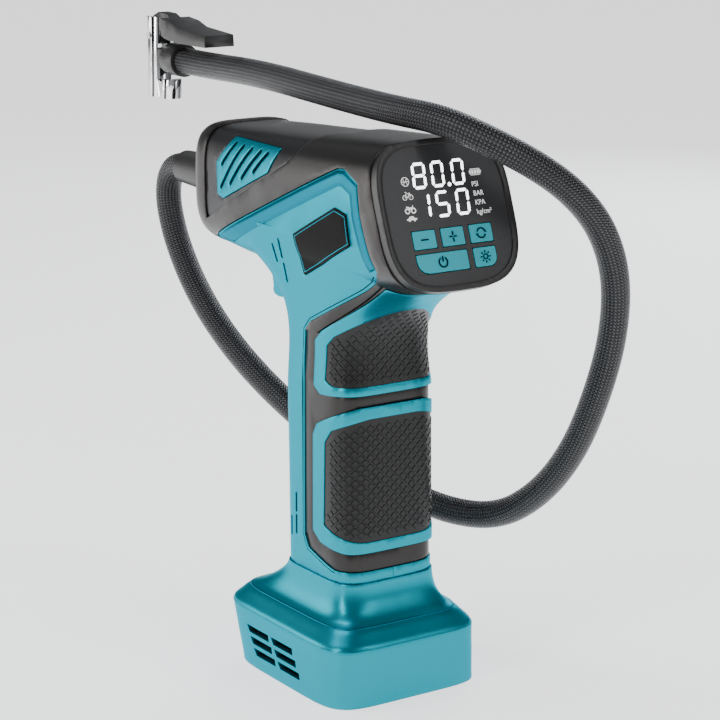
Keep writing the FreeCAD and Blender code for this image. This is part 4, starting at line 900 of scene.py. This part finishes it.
STROKE = 0.5
KEY_SIGNS = {
    "key_minus": [bar((-1.6, 0), (1.6, 0), STROKE)],
    "key_plus": [bar((-1.6, 0), (-0.35, 0), STROKE), bar((0.35, 0), (1.6, 0), STROKE),
                 bar((0, 0.5), (0, 2.0), STROKE), bar((0, -2.0), (0, -0.5), STROKE)],
    "key_mode": arc((0, 0), 1.8, STROKE, 20, 160, 9) + arc((0, 0), 1.8, STROKE, 200, 340, 9)
    + [[(1.3, 0.1), (2.4, 0.1), (1.85, 0.95)], [(-1.3, -0.1), (-2.4, -0.1), (-1.85, -0.95)]],
    "key_power": arc((0, 0), 1.8, STROKE, 120, 420, 16) + [bar((0, 0.2), (0, 2.2), STROKE)],
    "key_light": arc((0, 0), 0.95, 0.35, count=14) + [
        bar((1.5 * math.cos(t), 1.5 * math.sin(t)), (2.3 * math.cos(t), 2.3 * math.sin(t)), 0.4)
        for t in (math.pi * step / 4 for step in range(8))],
}
# millimetres out of the glass: the foot and the shoulder of a key, its chamfer, and its sign's two faces
KEY_FOOT, KEY_SHOULDER, KEY_CHAMFER, SIGN_LOW, SIGN_HIGH = -5.4, 0.15, 0.25, 0.36, 0.45
for name, ((left, low, width, height), cuts) in KEYS.items():
    work = bmesh.new()
    walls = add_plate(work, key_outline(left, low, width, height, cuts), KEY_FOOT, KEY_SHOULDER)
    ends = [face for face in work.faces if face not in walls]
    top = min(ends, key=lambda face: face.calc_center_median().y)
    bmesh.ops.inset_individual(work, faces=[top], thickness=KEY_CHAMFER * MM, depth=KEY_CHAMFER * MM)
    for outline in KEY_SIGNS[name]:
        faces = len(work.faces)
        placed = [(left + width / 2 + x, low + height / 2 + v) for x, v in outline]
        add_plate(work, placed, SIGN_LOW, SIGN_HIGH)
        work.faces.ensure_lookup_table()
        for face in work.faces[faces:]:
            face.material_index = 1
    piece = from_bmesh("cap_" + name, work, False)
    piece.data.materials.append(KEY_TEAL)
    piece.data.materials.append(INK)
    stands_for(piece, name)

# ---------------------------------------------------------------- the handle's and the base's fuller corners
# Each row is height, half width, back, front, roundness of the rear and front corners in the CAD,
# roundness wanted (a higher number is squarer), widening across, and how much of the change applies.
CORNERS = [(0.0, 35.0, 44.5, 34.5, 3.6, 3.6, 6.0, 1.0, 1), (12.0, 35.0, 44.5, 39.0, 3.6, 3.6, 6.0, 1.0, 1),
           (20.0, 35.0, 44.5, 42.0, 3.6, 3.6, 6.0, 1.0, 1), (24.0, 34.5, 44.0, 42.9, 3.6, 3.6, 6.0, 1.0, 1),
           (27.0, 31.8, 41.3, 40.2, 3.6, 3.6, 6.0, 1.0, 1), (30.7, 27.6, 36.9, 34.6, 3.6, 3.6, 5.8, 1.0, 1),
           (35.6, 24.1, 33.0, 25.6, 3.4, 3.7, 5.2, 1.02, 1),
           (44.5, 22.0, 31.3, 16.5, 3.0, 3.8, 4.8, 1.045, 1),
           (118.0, 22.0, 30.1, 17.7, 3.0, 3.8, 4.8, 1.045, 1),
           (150.0, 23.0, 29.9, 17.9, 3.0, 3.8, 4.8, 1.045, 0)]
TOO_NEAR_THE_MIDDLE = 1e-4
MOST_SCALE = 1.16


def fuller(point):
    """The point, moved outwards with the squarer corners of the handle and the base."""
    x, y, z = point / MM
    if z >= CORNERS[-1][0]:
        return point
    for low, high in zip(CORNERS, CORNERS[1:]):
        if z <= high[0]:
            break
    share = max(0.0, (z - low[0]) / (high[0] - low[0]))
    half, back, front, rear_power, front_power, wanted, wider, amount = (
        one + (two - one) * share for one, two in zip(low[1:], high[1:]))
    middle = (front - back) / 2
    across, along = abs(x / half), (y - middle) / ((front + back) / 2)
    power = front_power if along > 0 else rear_power
    squarer = (across ** wanted + abs(along) ** wanted) ** (1 / wanted)
    if squarer < TOO_NEAR_THE_MIDDLE:
        return point
    rounder = (across ** power + abs(along) ** power) ** (1 / power)
    scale = min(1 + amount * (rounder / squarer - 1), MOST_SCALE)
    widened = 1 + amount * (wider - 1)
    return Vector((x * scale * widened, middle + (y - middle) * scale, z)) * MM


ON_THE_CORD = {"braided_hose", "soft_hose_ferrule", "soft_chuck_neck", "soft_chuck_body", "chuck_seal",
               "soft_chuck_lever", "lever_pin"}
PACKED = set(frame["nodes"].values())
for item in list(bpy.context.scene.objects):
    if item.type == "MESH" and item not in PACKED and item is not floor and item.name not in ON_THE_CORD:
        for vertex in item.data.vertices:
            vertex.co = fuller(vertex.co)
